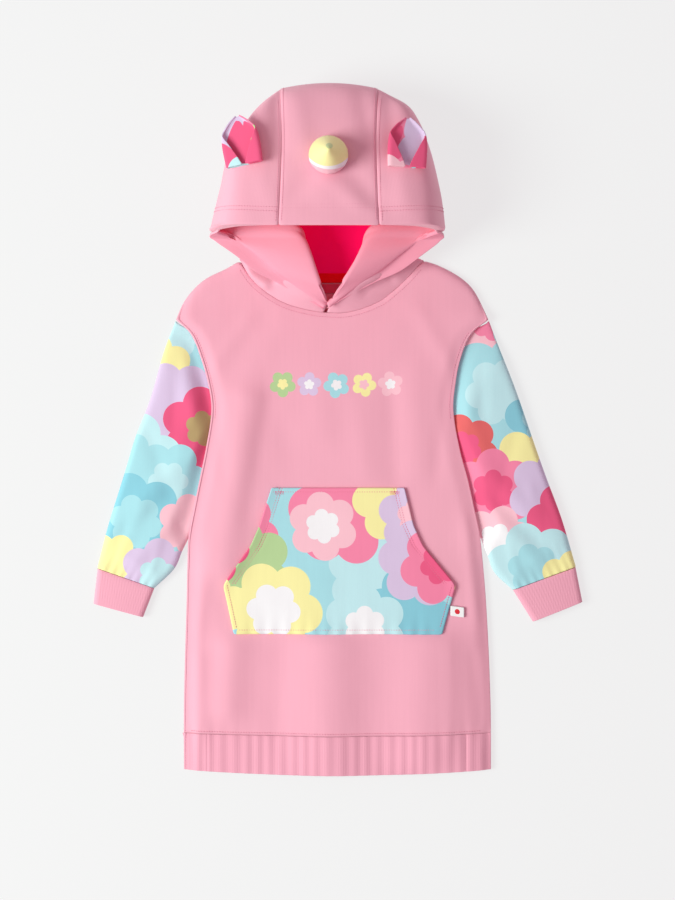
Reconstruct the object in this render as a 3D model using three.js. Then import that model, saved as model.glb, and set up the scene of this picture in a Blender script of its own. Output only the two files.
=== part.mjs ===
// A child's hooded sweatshirt dress, laid flat on its back with the hood filled out, the sleeves
// down and the cuffs beside the skirt. Units are millimetres. +X is to the right as one looks down
// on it, +Y runs from hem to hood and +Z is up. Each cut piece is one closed wall of cloth.
import * as THREE from 'three';
import { mergeVertices } from 'three/addons/utils/BufferGeometryUtils.js';

// ---- Driving dimensions ----
const JERSEY = 2.0; // body, sleeve and pocket cloth
const RIB_CLOTH = 2.4; // hem band and cuffs, folded double
const HOOD_CLOTH = 2.6; // hood, two layers together
const GAP = 0.3; // between neighbouring pieces at a seam

const SHOULDER_TIP_Y = 119;
const NECK_CORNER_Y = 184.5;
const POCKET_TOP_Y = -65;
const POCKET_BOTTOM_Y = -225;
const HEM_SEAM_Y = -334;
const HEM_BOTTOM_Y = -374;
const HEM_DIP = 6; // the hem's lower edge bows down this much at the middle
const HALF_HEM = 168;

const SEAM_HEIGHT = 4.5; // where front and back meet along the side
const LIFTED_SEAM_HEIGHT = 8.6; // the same beside the armholes, over the sleeve
const TOP_HEIGHT = 8; // upper face of the front where it lies smooth
const LIFTED_TOP = 3.8; // and how much higher it is beside the armholes
const EDGE_ROLL = 9; // width of the rounded side edges
const SHOULDER_SLANT = 0.7; // distance in from the shoulder for each mm down the body
const LIFT = { from: -152, full: -118, until: 119, to: 142 }; // the part of the edge over the sleeve, in y
const LIFT_SPREAD = 30; // how far in the lifted edge still shows on the front
const LIFTED_FOOT = 24; // how far in the lifted back reaches the floor
const LIFTED_SHELF = 10; // width of its level strip over the sleeve
const LIFTED_LIP = 2.5;
const LIP_ROLL = 2;
const TUCK = 2.5; // sleeve under the body
const SLEEVE_HEIGHT = 10.5;
const TUCKED_HEIGHT = 5.2;
const CUFF_HEIGHT = 9.4;
const RIB_PITCH = 3.8;
const RIB_DEPTH = 0.5;
const TUBE_ROLL = 0.7; // how far in a sleeve's edge is rounded, as a share of its height
const FOLD_FADE = 18; // how far a fold runs out past its ends
const FOLD_CLEAR = { from: 4, to: 20 }; // folds fade out towards the side edges

// ---- Outlines: one row for each place where the line turns ----
const SIDE_EDGES = [
  { y: 119, left: -177, right: 165.5 },
  { y: 104, left: -161, right: 147 },
  { y: 75, left: -149, right: 134.5 },
  { y: 48, left: -141.5, right: 129.3 },
  { y: 20, left: -138, right: 127 },
  { y: -21.5, left: -144, right: 133.7 },
  { y: -57, left: -151.3, right: 143.2 },
  { y: -90, left: -157.9, right: 150.5 },
  { y: -120, left: -163.4, right: 156.5 },
  { y: -189, left: -165.6, right: 163 },
  { y: -299, left: -168.5, right: 168 },
  { y: -380, left: -168.5, right: 168.5 },
];

// Two guide lines down the front, from the neck corners by way of the pocket's sides to the hem.
const GUIDES = [
  { y: 184.5, left: -107, right: 94 },
  { y: 60, left: -84, right: 80 },
  { y: -65, left: -72, right: 73 },
  { y: -106, left: -85, right: 83 },
  { y: -129, left: -95, right: 93.5 },
  { y: -172, left: -125, right: 129.5 },
  { y: -225, left: -113.5, right: 114.5 },
  { y: -334, left: -112, right: 112 },
  { y: -380, left: -112, right: 112 },
];

const LEFT_SHOULDER = [
  { x: -177, y: 119 },
  { x: -168, y: 140 },
  { x: -148, y: 162 },
  { x: -121, y: 176 },
  { x: -107, y: 184.5 },
];
const RIGHT_SHOULDER = [
  { x: 94, y: 184.5 },
  { x: 113, y: 178 },
  { x: 138, y: 163.5 },
  { x: 152, y: 148 },
  { x: 165.5, y: 119 },
];
const FRONT_NECK = [
  { x: -107, y: 184.5 },
  { x: -97, y: 167 },
  { x: -86, y: 155 },
  { x: -62, y: 139 },
  { x: -38, y: 131 },
  { x: -13.5, y: 127 },
  { x: 13, y: 127.5 },
  { x: 45, y: 138.5 },
  { x: 63, y: 152 },
  { x: 77, y: 165 },
  { x: 94, y: 184.5 },
];
const BACK_NECK = [
  { x: -107, y: 184.5 },
  { x: -90, y: 176 },
  { x: -50, y: 170 },
  { x: -7, y: 168.5 },
  { x: 40, y: 170 },
  { x: 77, y: 176 },
  { x: 94, y: 184.5 },
];

// Soft folds across the front, each from one end to the other. A trough has a negative height.
const FRONT_FOLDS = [
  { x0: -78, y0: 42, x1: -112, y1: -130, width: 15, height: 2.4 },
  { x0: 44, y0: 50, x1: 66, y1: -60, width: 13, height: -1.2 },
  { x0: -107, y0: -215, x1: -123, y1: -345, width: 13, height: 2.4 },
  { x0: -20, y0: -205, x1: -24, y1: -350, width: 26, height: 2.0 },
  { x0: 98, y0: -215, x1: 92, y1: -350, width: 24, height: 1.8 },
  { x0: 152, y0: -245, x1: 160, y1: -315, width: 7, height: 1.2 },
];

// Sleeves: the outer and inner edge at each place down the arm. `bend` is 1 where the line between
// them follows the body's edge, and `tuck` is 1 where the inner edge lies under the body.
const LEFT_SLEEVE = [
  { at: 0, outerX: -178, outerY: 118, innerX: -134, innerY: -2, bend: 1, tuck: 1 },
  { at: 0.16, outerX: -190, outerY: 86, innerX: -141, innerY: -28, bend: 0.75, tuck: 1 },
  { at: 0.33, outerX: -206, outerY: 31, innerX: -148.3, innerY: -63, bend: 0.3, tuck: 1 },
  { at: 0.5, outerX: -222, outerY: -10, innerX: -155.8, innerY: -98, bend: 0.06, tuck: 1 },
  { at: 0.6, outerX: -231, outerY: -40, innerX: -162.5, innerY: -118, bend: 0, tuck: 1 },
  { at: 0.7, outerX: -240, outerY: -69, innerX: -170, innerY: -134, bend: 0, tuck: 0 },
  { at: 0.84, outerX: -251.5, outerY: -106, innerX: -179, innerY: -154, bend: 0, tuck: 0 },
  { at: 1, outerX: -263.5, outerY: -153, innerX: -200.5, innerY: -175, bend: 0, tuck: 0 },
];
const RIGHT_SLEEVE = [
  { at: 0, outerX: 166.5, outerY: 118, innerX: 123.5, innerY: -2, bend: 1, tuck: 1 },
  { at: 0.16, outerX: 178.5, outerY: 86, innerX: 130.8, innerY: -28, bend: 0.75, tuck: 1 },
  { at: 0.33, outerX: 195, outerY: 44, innerX: 140.6, innerY: -63, bend: 0.3, tuck: 1 },
  { at: 0.5, outerX: 212, outerY: -5, innerX: 148, innerY: -98, bend: 0.06, tuck: 1 },
  { at: 0.6, outerX: 221, outerY: -31, innerX: 156.5, innerY: -119, bend: 0, tuck: 1 },
  { at: 0.7, outerX: 230, outerY: -56, innerX: 164, innerY: -138, bend: 0, tuck: 0 },
  { at: 0.84, outerX: 246, outerY: -99, innerX: 172, innerY: -158, bend: 0, tuck: 0 },
  { at: 1, outerX: 261.5, outerY: -151.5, innerX: 192, innerY: -177, bend: 0, tuck: 0 },
];
const SLEEVE_FOLDS = [
  { x0: -176, y0: 92, x1: -168, y1: 30, width: 9, height: 2.2 },
  { x0: -166, y0: -30, x1: -214, y1: -78, width: 10, height: 1.8 },
  { x0: -184, y0: -104, x1: -222, y1: -146, width: 9, height: 1.6 },
  { x0: 160, y0: 96, x1: 150, y1: 34, width: 9, height: 2.4 },
  { x0: 158, y0: -40, x1: 204, y1: -86, width: 10, height: 1.8 },
  { x0: 186, y0: -112, x1: 222, y1: -150, width: 9, height: 1.6 },
];
const LEFT_CUFF_END = { outerX: -268, outerY: -192, innerX: -213, innerY: -207 };
const RIGHT_CUFF_END = { outerX: 269, outerY: -190, innerX: 214, innerY: -212 };

// Hood centre panel, from the back neck along the floor, round the crown and out to the rim.
const HOOD_CENTRE_X = -9;
const NECK_CENTRE_X = -13.5;
const SPINE = [
  { at: 0, y: 172, z: 0, half: 38 },
  { at: 0.14, y: 225, z: 0, half: 45 },
  { at: 0.32, y: 300, z: 0, half: 50 },
  { at: 0.42, y: 340, z: 3, half: 51 },
  { at: 0.5, y: 364, z: 20, half: 52 },
  { at: 0.56, y: 371.5, z: 45, half: 52 },
  { at: 0.62, y: 363, z: 68, half: 52 },
  { at: 0.7, y: 338, z: 84, half: 51 },
  { at: 0.8, y: 300, z: 96, half: 50 },
  { at: 0.9, y: 256, z: 104, half: 51 },
  { at: 1, y: 212, z: 108, half: 53 },
];
const SPINE_ARCH = 2; // the centre panel's edges lie this much lower than its middle
const CROWN_START = 0.6;
const ARCHED = { from: 0.56, to: 0.8 }; // where along the spine that begins and is full
const CROWN_BOW = 6; // the crown's top line falls back this much from its middle to its seams
const BOWED = { from: 0.4, full: 0.5, until: 0.6, to: 0.8 }; // and where along the spine it does
const CENTRE_SHIFT = { from: 135, to: 200 }; // from the neck's centre line to the hood's, in y

// Hood side panel. Each row runs from the crown seam, and past the rim from the free edge, over
// the cheek and the turned-back roll to the floor seam, and past the neck to the neck seam.
// `out` is the distance from the hood's centre line; `base` is a share of the way to the corner
// of the neck. Rows 0 to 4 start on the spine at `crown`; rows 0 to 6 end on it at `floor`.
const RIM_ROW = 4;
const NECK_ROW = 6;
const CORNER_ROW = 8;
const HOOD_ROWS = [
  { at: 0, crown: 0.585, floor: 0.535, edgeOut: 52, edgeY: 363, edgeZ: 52, cheekOut: 53, cheekY: 363,
    cheekZ: 45, rollOut: 52.5, rollY: 363, rollZ: 40, base: 0.4, baseZ: 0 },
  { at: 1, crown: 0.68, floor: 0.43, edgeOut: 52, edgeY: 345, edgeZ: 78, cheekOut: 73, cheekY: 344,
    cheekZ: 45, rollOut: 66, rollY: 343, rollZ: 15, base: 0.4, baseZ: 0 },
  { at: 2, crown: 0.79, floor: 0.32, edgeOut: 50, edgeY: 305, edgeZ: 93, cheekOut: 105, cheekY: 304,
    cheekZ: 47, rollOut: 88, rollY: 303, rollZ: 12, base: 0.4, baseZ: 0 },
  { at: 3, crown: 0.9, floor: 0.2, edgeOut: 51, edgeY: 256, edgeZ: 102, cheekOut: 121, cheekY: 256,
    cheekZ: 45, rollOut: 90, rollY: 252, rollZ: 15, base: 0.4, baseZ: 0 },
  { at: 4, crown: 1, floor: 0.11, edgeOut: 53, edgeY: 212, edgeZ: 106, cheekOut: 128, cheekY: 222,
    cheekZ: 43, rollOut: 60, rollY: 222, rollZ: 30, base: 0.4, baseZ: 0 },
  { at: 5, crown: 1, floor: 0.05, edgeOut: 92, edgeY: 212, edgeZ: 95, cheekOut: 130, cheekY: 219,
    cheekZ: 40, rollOut: 40, rollY: 217, rollZ: 40, base: 0.4, baseZ: 0 },
  { at: 6, crown: 1, floor: 0, edgeOut: 120, edgeY: 212, edgeZ: 70, cheekOut: 128, cheekY: 215,
    cheekZ: 38, rollOut: 37, rollY: 209, rollZ: 42, base: 0.4, baseZ: 0 },
  { at: 7, crown: 1, floor: 0, edgeOut: 130, edgeY: 211, edgeZ: 38, cheekOut: 97, cheekY: 207,
    cheekZ: 36, rollOut: 32, rollY: 201, rollZ: 43, base: 0.75, baseZ: 3.5 },
  { at: 8, crown: 1, floor: 0, edgeOut: 119.5, edgeY: 200.5, edgeZ: 34, cheekOut: 83, cheekY: 196,
    cheekZ: 37, rollOut: 27, rollY: 190, rollZ: 44, base: 1, baseZ: 7 },
  { at: 9, crown: 1, floor: 0, edgeOut: 97, edgeY: 185, edgeZ: 30, cheekOut: 66, cheekY: 183,
    cheekZ: 36, rollOut: 22, rollY: 178, rollZ: 43, base: 0.89, baseZ: 8 },
  { at: 10, crown: 1, floor: 0, edgeOut: 79.5, edgeY: 172, edgeZ: 26, cheekOut: 50, cheekY: 170,
    cheekZ: 33, rollOut: 15, rollY: 160, rollZ: 38, base: 0.78, baseZ: 8 },
  { at: 11, crown: 1, floor: 0, edgeOut: 55, edgeY: 160, edgeZ: 22, cheekOut: 34, cheekY: 157,
    cheekZ: 28, rollOut: 9, rollY: 148, rollZ: 29, base: 0.48, baseZ: 8 },
  { at: 12, crown: 1, floor: 0, edgeOut: 7, edgeY: 131, edgeZ: 19, cheekOut: 5.5, cheekY: 134,
    cheekZ: 21, rollOut: 4.5, rollY: 137, rollZ: 17, base: 0.02, baseZ: 8 },
];
// What each side adds to those rows: the cheek, the roll and the free edge moved out, and the
// lapel's end lowered. The left lapel's end goes under the right one's.
const HOOD_SIDES = {
  left: [
    { at: 0, cheek: 0, roll: 0, edge: 0, drop: 0 },
    { at: 0.5, cheek: 1.5, roll: 0, edge: 0, drop: 0 },
    { at: 1, cheek: 2.5, roll: 0, edge: 0, drop: 0 },
    { at: 2, cheek: 0, roll: 0, edge: 0, drop: 0 },
    { at: 3, cheek: -4.5, roll: 0, edge: 0, drop: 0 },
    { at: 4, cheek: -3, roll: -2, edge: 0, drop: 0 },
    { at: 5, cheek: -2, roll: -6, edge: 0, drop: 0 },
    { at: 9, cheek: 0, roll: -6, edge: 0, drop: 0 },
    { at: 10, cheek: 0, roll: -7, edge: 0, drop: 0 },
    { at: 11, cheek: -2, roll: -8, edge: -1, drop: 2.5 },
    { at: 12, cheek: -6, roll: -8, edge: -5, drop: 7.5 },
  ],
  right: [
    { at: 0, cheek: 0, roll: 0, edge: 0, drop: 0 },
    { at: 0.5, cheek: 7, roll: 3, edge: 0, drop: 0 },
    { at: 1, cheek: 14, roll: 6, edge: 0, drop: 0 },
    { at: 1.5, cheek: 9, roll: 4, edge: 0, drop: 0 },
    { at: 2, cheek: 1.5, roll: 0, edge: 0, drop: 0 },
    { at: 3, cheek: -3, roll: 0, edge: 0, drop: 0 },
    { at: 4, cheek: -5, roll: 2, edge: 0, drop: 0 },
    { at: 5, cheek: -6, roll: 7, edge: -2, drop: 0 },
    { at: 6, cheek: -6, roll: 7, edge: -4, drop: 0 },
    { at: 7, cheek: -3, roll: 7, edge: -5, drop: 0 },
    { at: 9, cheek: 0, roll: 7, edge: 0, drop: 0 },
    { at: 10, cheek: 0, roll: 4, edge: 0, drop: 0 },
    { at: 11, cheek: 0, roll: 2, edge: -1, drop: 0 },
    { at: 12, cheek: -2.5, roll: 1, edge: -5.5, drop: -1 },
  ],
};
const CORNER_EASE = { from: 0.5, to: 2.5 }; // rows over which the crown's corner opens out
const BROW = { out: 0.72, rise: 0.7 }; // fullness between the crown seam and the cheek

const HORN = { x: -9.5, y: 286, radius: 20.5, height: 46, sides: 20 };
const HORN_PROFILE = [
  { at: 0, radius: 1 },
  { at: 0.12, radius: 1.03 },
  { at: 0.35, radius: 0.9 },
  { at: 0.6, radius: 0.62 },
  { at: 0.82, radius: 0.32 },
  { at: 0.95, radius: 0.16 },
];
const EAR = { length: 55, cup: 6, rise: 5, cloth: 2.4 };
const EAR_OUTLINE = [
  { at: 0, half: 0.92 },
  { at: 0.35, half: 1 },
  { at: 0.65, half: 0.86 },
  { at: 0.88, half: 0.42 },
  { at: 1, half: 0.08 },
];
// Each ear is sewn along one row of the hood, from its near to its far distance out.
const EAR_BASES = {
  left: { row: 2.62, near: 75, far: 109, tip: 98 },
  right: { row: 2.64, near: 64, far: 102, tip: 82 },
};

// ---- Small tools ----
const { lerp, clamp, smoothstep } = THREE.MathUtils;
const HALVINGS = 24; // steps of a search by halves
const ease = (value, { from, to }) => smoothstep(value, from, to);

// Reads one column of a table at a place along another, straight or smoothly between the rows.
function read(table, along, column, place, smooth = true) {
  const last = table.length - 1;
  const rising = Math.sign(table[last][along] - table[0][along]);
  let k = 0;
  while (k < last - 1 && (place - table[k + 1][along]) * rising > 0) k += 1;
  const span = table[k + 1][along] - table[k][along];
  const t = clamp((place - table[k][along]) / span, 0, 1);
  const from = table[k][column];
  const to = table[k + 1][column];
  if (!smooth) return lerp(from, to, t);
  const slope = (i) => {
    const before = table[Math.max(i - 1, 0)];
    const after = table[Math.min(i + 1, last)];
    return ((after[column] - before[column]) / (after[along] - before[along])) * span;
  };
  const ease = t * t * (3 - 2 * t);
  return lerp(from, to, ease) + slope(k) * t * (1 - t) ** 2 - slope(k + 1) * t * t * (1 - t);
}

// 0 at an edge and 1 from `radius` inward, along a quarter of an ellipse.
function roll(run, radius) {
  return run >= radius ? 1 : Math.sqrt(1 - (1 - Math.max(run, 0) / radius) ** 2);
}

function foldHeight(folds, x, y) {
  let height = 0;
  for (const fold of folds) {
    const length = Math.hypot(fold.x1 - fold.x0, fold.y1 - fold.y0);
    const alongX = (fold.x1 - fold.x0) / length;
    const alongY = (fold.y1 - fold.y0) / length;
    const along = (x - fold.x0) * alongX + (y - fold.y0) * alongY;
    const across = (x - fold.x0) * alongY - (y - fold.y0) * alongX;
    const beyond = Math.max(-along, along - length, 0);
    height += fold.height * Math.exp(-((across / fold.width) ** 2) - (beyond / FOLD_FADE) ** 2);
  }
  return height;
}

function steps(count, from = 0, to = 1) {
  return Array.from({ length: count + 1 }, (_, k) => lerp(from, to, k / count));
}

// A closed wall between an outer and an inner skin, each a function of column and row. A ring
// joins its last column to its first. Skins that meet in a point are closed there.
function wall(columns, rows, outer, inner, ring = false) {
  const positions = [];
  for (const skin of [outer, inner]) {
    for (const v of rows) {
      for (const u of columns) positions.push(...skin(u, v).toArray());
    }
  }
  const width = columns.length;
  const height = rows.length;
  const at = (layer, r, c) => (layer * height + r) * width + (c % width);
  const index = [];
  const quad = (a, b, c, d) => index.push(a, b, c, a, c, d);
  const spans = ring ? width : width - 1;
  const end = height - 1;
  for (let c = 0; c < spans; c += 1) {
    for (let r = 0; r < end; r += 1) {
      quad(at(0, r, c), at(0, r, c + 1), at(0, r + 1, c + 1), at(0, r + 1, c));
      quad(at(1, r, c), at(1, r + 1, c), at(1, r + 1, c + 1), at(1, r, c + 1));
    }
    quad(at(0, 0, c), at(1, 0, c), at(1, 0, c + 1), at(0, 0, c + 1));
    quad(at(0, end, c), at(0, end, c + 1), at(1, end, c + 1), at(1, end, c));
  }
  if (!ring) {
    const side = width - 1;
    for (let r = 0; r < end; r += 1) {
      quad(at(0, r, 0), at(0, r + 1, 0), at(1, r + 1, 0), at(1, r, 0));
      quad(at(0, r, side), at(1, r, side), at(1, r + 1, side), at(0, r + 1, side));
    }
  }
  return closed(positions, index);
}

// Merges equal points, drops flat triangles and turns the faces outward.
function closed(positions, index) {
  const raw = new THREE.BufferGeometry();
  raw.setAttribute('position', new THREE.Float32BufferAttribute(positions, 3));
  raw.setIndex(index);
  const geometry = mergeVertices(raw, 1e-3);
  const points = geometry.getAttribute('position');
  const merged = geometry.getIndex().array;
  const kept = [];
  const [a, b, c] = [new THREE.Vector3(), new THREE.Vector3(), new THREE.Vector3()];
  let volume = 0;
  for (let k = 0; k < merged.length; k += 3) {
    const corners = [merged[k], merged[k + 1], merged[k + 2]];
    if (new Set(corners).size < 3) continue;
    kept.push(...corners);
    a.fromBufferAttribute(points, corners[0]);
    b.fromBufferAttribute(points, corners[1]);
    c.fromBufferAttribute(points, corners[2]);
    volume += a.dot(b.cross(c));
  }
  if (volume < 0) kept.reverse();
  geometry.setIndex(kept);
  geometry.computeVertexNormals();
  return geometry;
}

// The other side of a cloth whose outer face is `skin`, one thickness along the surface's normal.
function behind(skin, thickness) {
  const small = 1e-3;
  return (u, v) => {
    const here = skin(u, v);
    const across = skin(u + small, v).sub(skin(u - small, v));
    const down = skin(u, v + small).sub(skin(u, v - small));
    return here.addScaledVector(across.cross(down).normalize(), thickness);
  };
}

const dress = new THREE.Group();

function add(name, geometry, colour, roughness = 0.9) {
  const material = new THREE.MeshStandardMaterial({ color: colour, roughness, metalness: 0 });
  const mesh = new THREE.Mesh(geometry, material);
  mesh.name = name;
  dress.add(mesh);
}

const PINK = 0xf0a8bc;
const PRINT_PINK = 0xf58fae;
const AQUA = 0xaee5ea;
const YELLOW = 0xf6eda6;
const RED = 0xd84848;
const WHITE = 0xf6f2f2;

// ---- Body: front and back share one plan ----
// u is 0 to 3 across (side, guide, guide, side); v is 0 at the shoulders and neck, 1 at the
// pocket's top, 2 at its lower edge, 3 at the hem seam and 4 at the hem's lower edge.
const EDGE_STEPS = [0, 2, 5, 10, 20];
const EDGE_COLUMNS = 6;
const SHOULDER_STEPS = [0, 3, 6, 13];
const SHOULDER_ROWS = 8;
const MIDDLE_COLUMNS = 10;
const TOP_LEVELS = [SHOULDER_TIP_Y, NECK_CORNER_Y, NECK_CORNER_Y, SHOULDER_TIP_Y];
const ZONE_LEVELS = [POCKET_TOP_Y, POCKET_BOTTOM_Y, HEM_SEAM_Y, HEM_BOTTOM_Y];

// Grid lines at set distances from an edge first, and evenly from there on.
function runFromEdge(share, length, distances, lines) {
  const place = share * lines;
  const fixed = distances.length - 1;
  if (place >= fixed) return lerp(distances[fixed], length, (place - fixed) / (lines - fixed));
  const k = Math.floor(place);
  return lerp(distances[k], distances[k + 1], place - k);
}

function guideX(guide, y) {
  if (guide === 0) return read(SIDE_EDGES, 'y', 'left', y);
  if (guide === 1) return read(GUIDES, 'y', 'left', y, false);
  if (guide === 2) return read(GUIDES, 'y', 'right', y, false);
  return read(SIDE_EDGES, 'y', 'right', y);
}

function guideY(guide, v) {
  const zone = Math.min(Math.floor(v), 3);
  if (zone > 0) return lerp(ZONE_LEVELS[zone - 1], ZONE_LEVELS[zone], v - zone);
  const length = TOP_LEVELS[guide] - ZONE_LEVELS[0];
  return TOP_LEVELS[guide] - runFromEdge(v, length, SHOULDER_STEPS, SHOULDER_ROWS);
}

function topY(x, neck) {
  if (x < neck[0].x) return read(LEFT_SHOULDER, 'x', 'y', x);
  if (x > neck[neck.length - 1].x) return read(RIGHT_SHOULDER, 'x', 'y', x);
  return read(neck, 'x', 'y', x);
}

function shareAcross(band, across, width) {
  if (band === 0) return runFromEdge(across, width, EDGE_STEPS, EDGE_COLUMNS) / width;
  if (band === 2) return 1 - runFromEdge(1 - across, width, EDGE_STEPS, EDGE_COLUMNS) / width;
  return across;
}

function plan(u, v, neck) {
  const band = Math.min(Math.floor(u), 2);
  const y0 = guideY(band, v);
  const y1 = guideY(band + 1, v);
  const x0 = guideX(band, y0);
  const x1 = guideX(band + 1, y1);
  const share = shareAcross(band, u - band, x1 - x0);
  const x = lerp(x0, x1, share);
  let y = lerp(y0, y1, share);
  if (v < 1) {
    const startX = guideX(band, TOP_LEVELS[band]);
    const endX = guideX(band + 1, TOP_LEVELS[band + 1]);
    const topShare = shareAcross(band, u - band, endX - startX);
    const straight = lerp(TOP_LEVELS[band], TOP_LEVELS[band + 1], topShare);
    const curve = topY(lerp(startX, endX, topShare), neck) - straight;
    const left = (y0 - ZONE_LEVELS[0]) / (TOP_LEVELS[band] - ZONE_LEVELS[0]);
    const right = (y1 - ZONE_LEVELS[0]) / (TOP_LEVELS[band + 1] - ZONE_LEVELS[0]);
    y += curve * lerp(left, right, share);
  }
  if (v > 2) y -= (HEM_DIP * (v - 2) / 2) * (1 - (x / HALF_HEM) ** 2);
  return { x, y };
}

function bodyHeights(u, v, neck) {
  const { x, y } = plan(u, v, neck);
  const left = x < 0;
  const sideRun = left ? x - guideX(0, y) : guideX(3, y) - x;
  const atNeck = x > neck[0].x && x < neck[neck.length - 1].x;
  const topRun = atNeck ? Infinity : (topY(x, neck) - y) * SHOULDER_SLANT;
  const lift = smoothstep(y, LIFT.from, LIFT.full) * (1 - smoothstep(y, LIFT.until, LIFT.to));
  const seam = lerp(SEAM_HEIGHT, LIFTED_SEAM_HEIGHT, lift);
  return { x, y, left, sideRun, topRun, lift, seam };
}

// Moves a point of the inner skin in from the side and the shoulder, one thickness at the edge.
function inset(place, thickness) {
  const sideways = thickness * Math.max(0, 1 - place.sideRun / EDGE_ROLL);
  const down = (thickness / SHOULDER_SLANT) * Math.max(0, 1 - place.topRun / EDGE_ROLL);
  return { x: place.x + (place.left ? sideways : -sideways), y: place.y - down };
}

function frontTop(place) {
  const edge = roll(place.sideRun, EDGE_ROLL) * roll(place.topRun, EDGE_ROLL);
  const lifted = LIFTED_TOP * place.lift * Math.exp(-place.sideRun / LIFT_SPREAD);
  const clear = smoothstep(place.sideRun, FOLD_CLEAR.from, FOLD_CLEAR.to);
  const folds = foldHeight(FRONT_FOLDS, place.x, place.y) * clear;
  const top = TOP_HEIGHT + lifted + folds;
  return { z: place.seam + GAP / 2 + (top - place.seam) * edge, edge };
}

function frontOuter(relief = () => 0) {
  return (u, v) => {
    const place = bodyHeights(u, v, FRONT_NECK);
    const { z, edge } = frontTop(place);
    return new THREE.Vector3(place.x, place.y, z + relief(place.x) * edge);
  };
}

function frontInner(thickness) {
  return (u, v) => {
    const place = bodyHeights(u, v, FRONT_NECK);
    const { z, edge } = frontTop(place);
    const { x, y } = inset(place, thickness);
    return new THREE.Vector3(x, y, z - thickness * edge);
  };
}

function backFloor(place) {
  const plain = roll(place.sideRun, EDGE_ROLL);
  const lip = LIFTED_LIP * roll(place.sideRun, LIP_ROLL);
  const slope = smoothstep(place.sideRun, LIFTED_SHELF, LIFTED_FOOT);
  const lifted = (lip + (LIFTED_SEAM_HEIGHT - LIFTED_LIP) * slope) / LIFTED_SEAM_HEIGHT;
  const fall = lerp(plain, lifted, place.lift) * roll(place.topRun, EDGE_ROLL);
  return (place.seam - GAP / 2) * (1 - fall);
}

function backOuter(u, v) {
  const place = bodyHeights(u, v, BACK_NECK);
  return new THREE.Vector3(place.x, place.y, backFloor(place));
}

function backInner(thickness) {
  return (u, v) => {
    const place = bodyHeights(u, v, BACK_NECK);
    const { x, y } = inset(place, thickness);
    const sideways = roll(place.sideRun, lerp(EDGE_ROLL, LIP_ROLL, place.lift));
    const rise = thickness * sideways * roll(place.topRun, EDGE_ROLL);
    return new THREE.Vector3(x, y, backFloor(place) + rise);
  };
}

const RIB_SPAN = { from: 0.7, to: 2.3 }; // ribbed columns of the hem band, in u
const HEM_CLEARANCE = GAP / 40; // the hem seam's gap as a share of the band's depth
const BODY_COLUMNS = [
  ...steps(EDGE_COLUMNS, 0, 1),
  ...steps(MIDDLE_COLUMNS, 1, 2).slice(1),
  ...steps(EDGE_COLUMNS, 2, 3).slice(1),
];
const POCKET_ROWS = steps(7, 1, 2);
const BODY_ROWS = [
  ...steps(SHOULDER_ROWS, 0, 1),
  ...POCKET_ROWS.slice(1),
  ...steps(5, 2, 3).slice(1),
];

function makeBody() {
  add('front', wall(BODY_COLUMNS, BODY_ROWS, frontOuter(), frontInner(JERSEY)), PINK);
  add('back', wall(BODY_COLUMNS, BODY_ROWS, backOuter, backInner(JERSEY)), PINK);
  // Two columns to a rib, but wider ones on the plain rolled edges.
  const ribs = Math.round((2 * HALF_HEM) / RIB_PITCH);
  const plainRibs = 10;
  const ribColumns = [
    ...steps(EDGE_STEPS.length - 1, 0, (EDGE_STEPS.length - 1) / EDGE_COLUMNS),
    ...steps(2 * (ribs - plainRibs), RIB_SPAN.from, RIB_SPAN.to),
    ...steps(EDGE_STEPS.length - 1, 3 - (EDGE_STEPS.length - 1) / EDGE_COLUMNS, 3),
  ];
  const raised = (x) => (RIB_DEPTH / 2) * (1 + Math.cos((2 * Math.PI * x) / RIB_PITCH));
  const band = [3 + HEM_CLEARANCE, 4];
  add('hem_front', wall(ribColumns, band, frontOuter(raised), frontInner(RIB_CLOTH)), PINK);
  add('hem_back', wall(BODY_COLUMNS, band, backOuter, backInner(RIB_CLOTH)), PINK);
}

// The pocket is made from the front's own points, moved up off it.
function makePocket() {
  const columns = BODY_COLUMNS.filter((u) => u >= 1 && u <= 2);
  const lifted = (height) => (u, v) => frontOuter()(u, v).add(new THREE.Vector3(0, 0, height));
  add('pocket', wall(columns, POCKET_ROWS, lifted(GAP + JERSEY), lifted(GAP)), AQUA);
  const tag = { x: 123.6, y: -205, width: 15, height: 11, cloth: 1.2, clearance: 0.9 };
  const onFront = (lift) => (u, v) => {
    const x = tag.x + u * tag.width;
    const y = tag.y + v * tag.height - u * 2;
    const sideRun = guideX(3, y) - x;
    const place = { x, y, left: false, sideRun, topRun: Infinity, lift: 0, seam: SEAM_HEIGHT };
    return new THREE.Vector3(x, y, frontTop(place).z + tag.clearance + lift);
  };
  add('pocket_tag', wall(steps(4), steps(3), onFront(tag.cloth), onFront(0)), WHITE);
}

// ---- Sleeves and cuffs: flattened tubes ----
// u runs 0 to 1 over the top from the outer to the inner edge and 1 to 2 back underneath.
function tubePoint(line, u, heights, shrink, thickness, relief) {
  const top = u <= 1;
  const across = top ? -1 + 2 * u : 3 - 2 * u;
  const { outer, inner, bendAt } = line;
  const half = outer.distanceTo(inner) / 2;
  const share = across * (1 - shrink / half);
  const { height, folds } = heights(share);
  const run = (1 - Math.abs(across)) * half;
  const radius = Math.max(height * TUBE_ROLL - shrink, 1);
  const edge = roll(run, radius);
  const middle = height / 2;
  const reach = (middle - thickness) * edge;
  const point = outer.clone().lerp(inner, (share + 1) / 2);
  point.x += bendAt(share);
  point.z = top ? middle + reach + (folds + relief(across * half)) * edge : middle - reach;
  return point;
}

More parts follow.
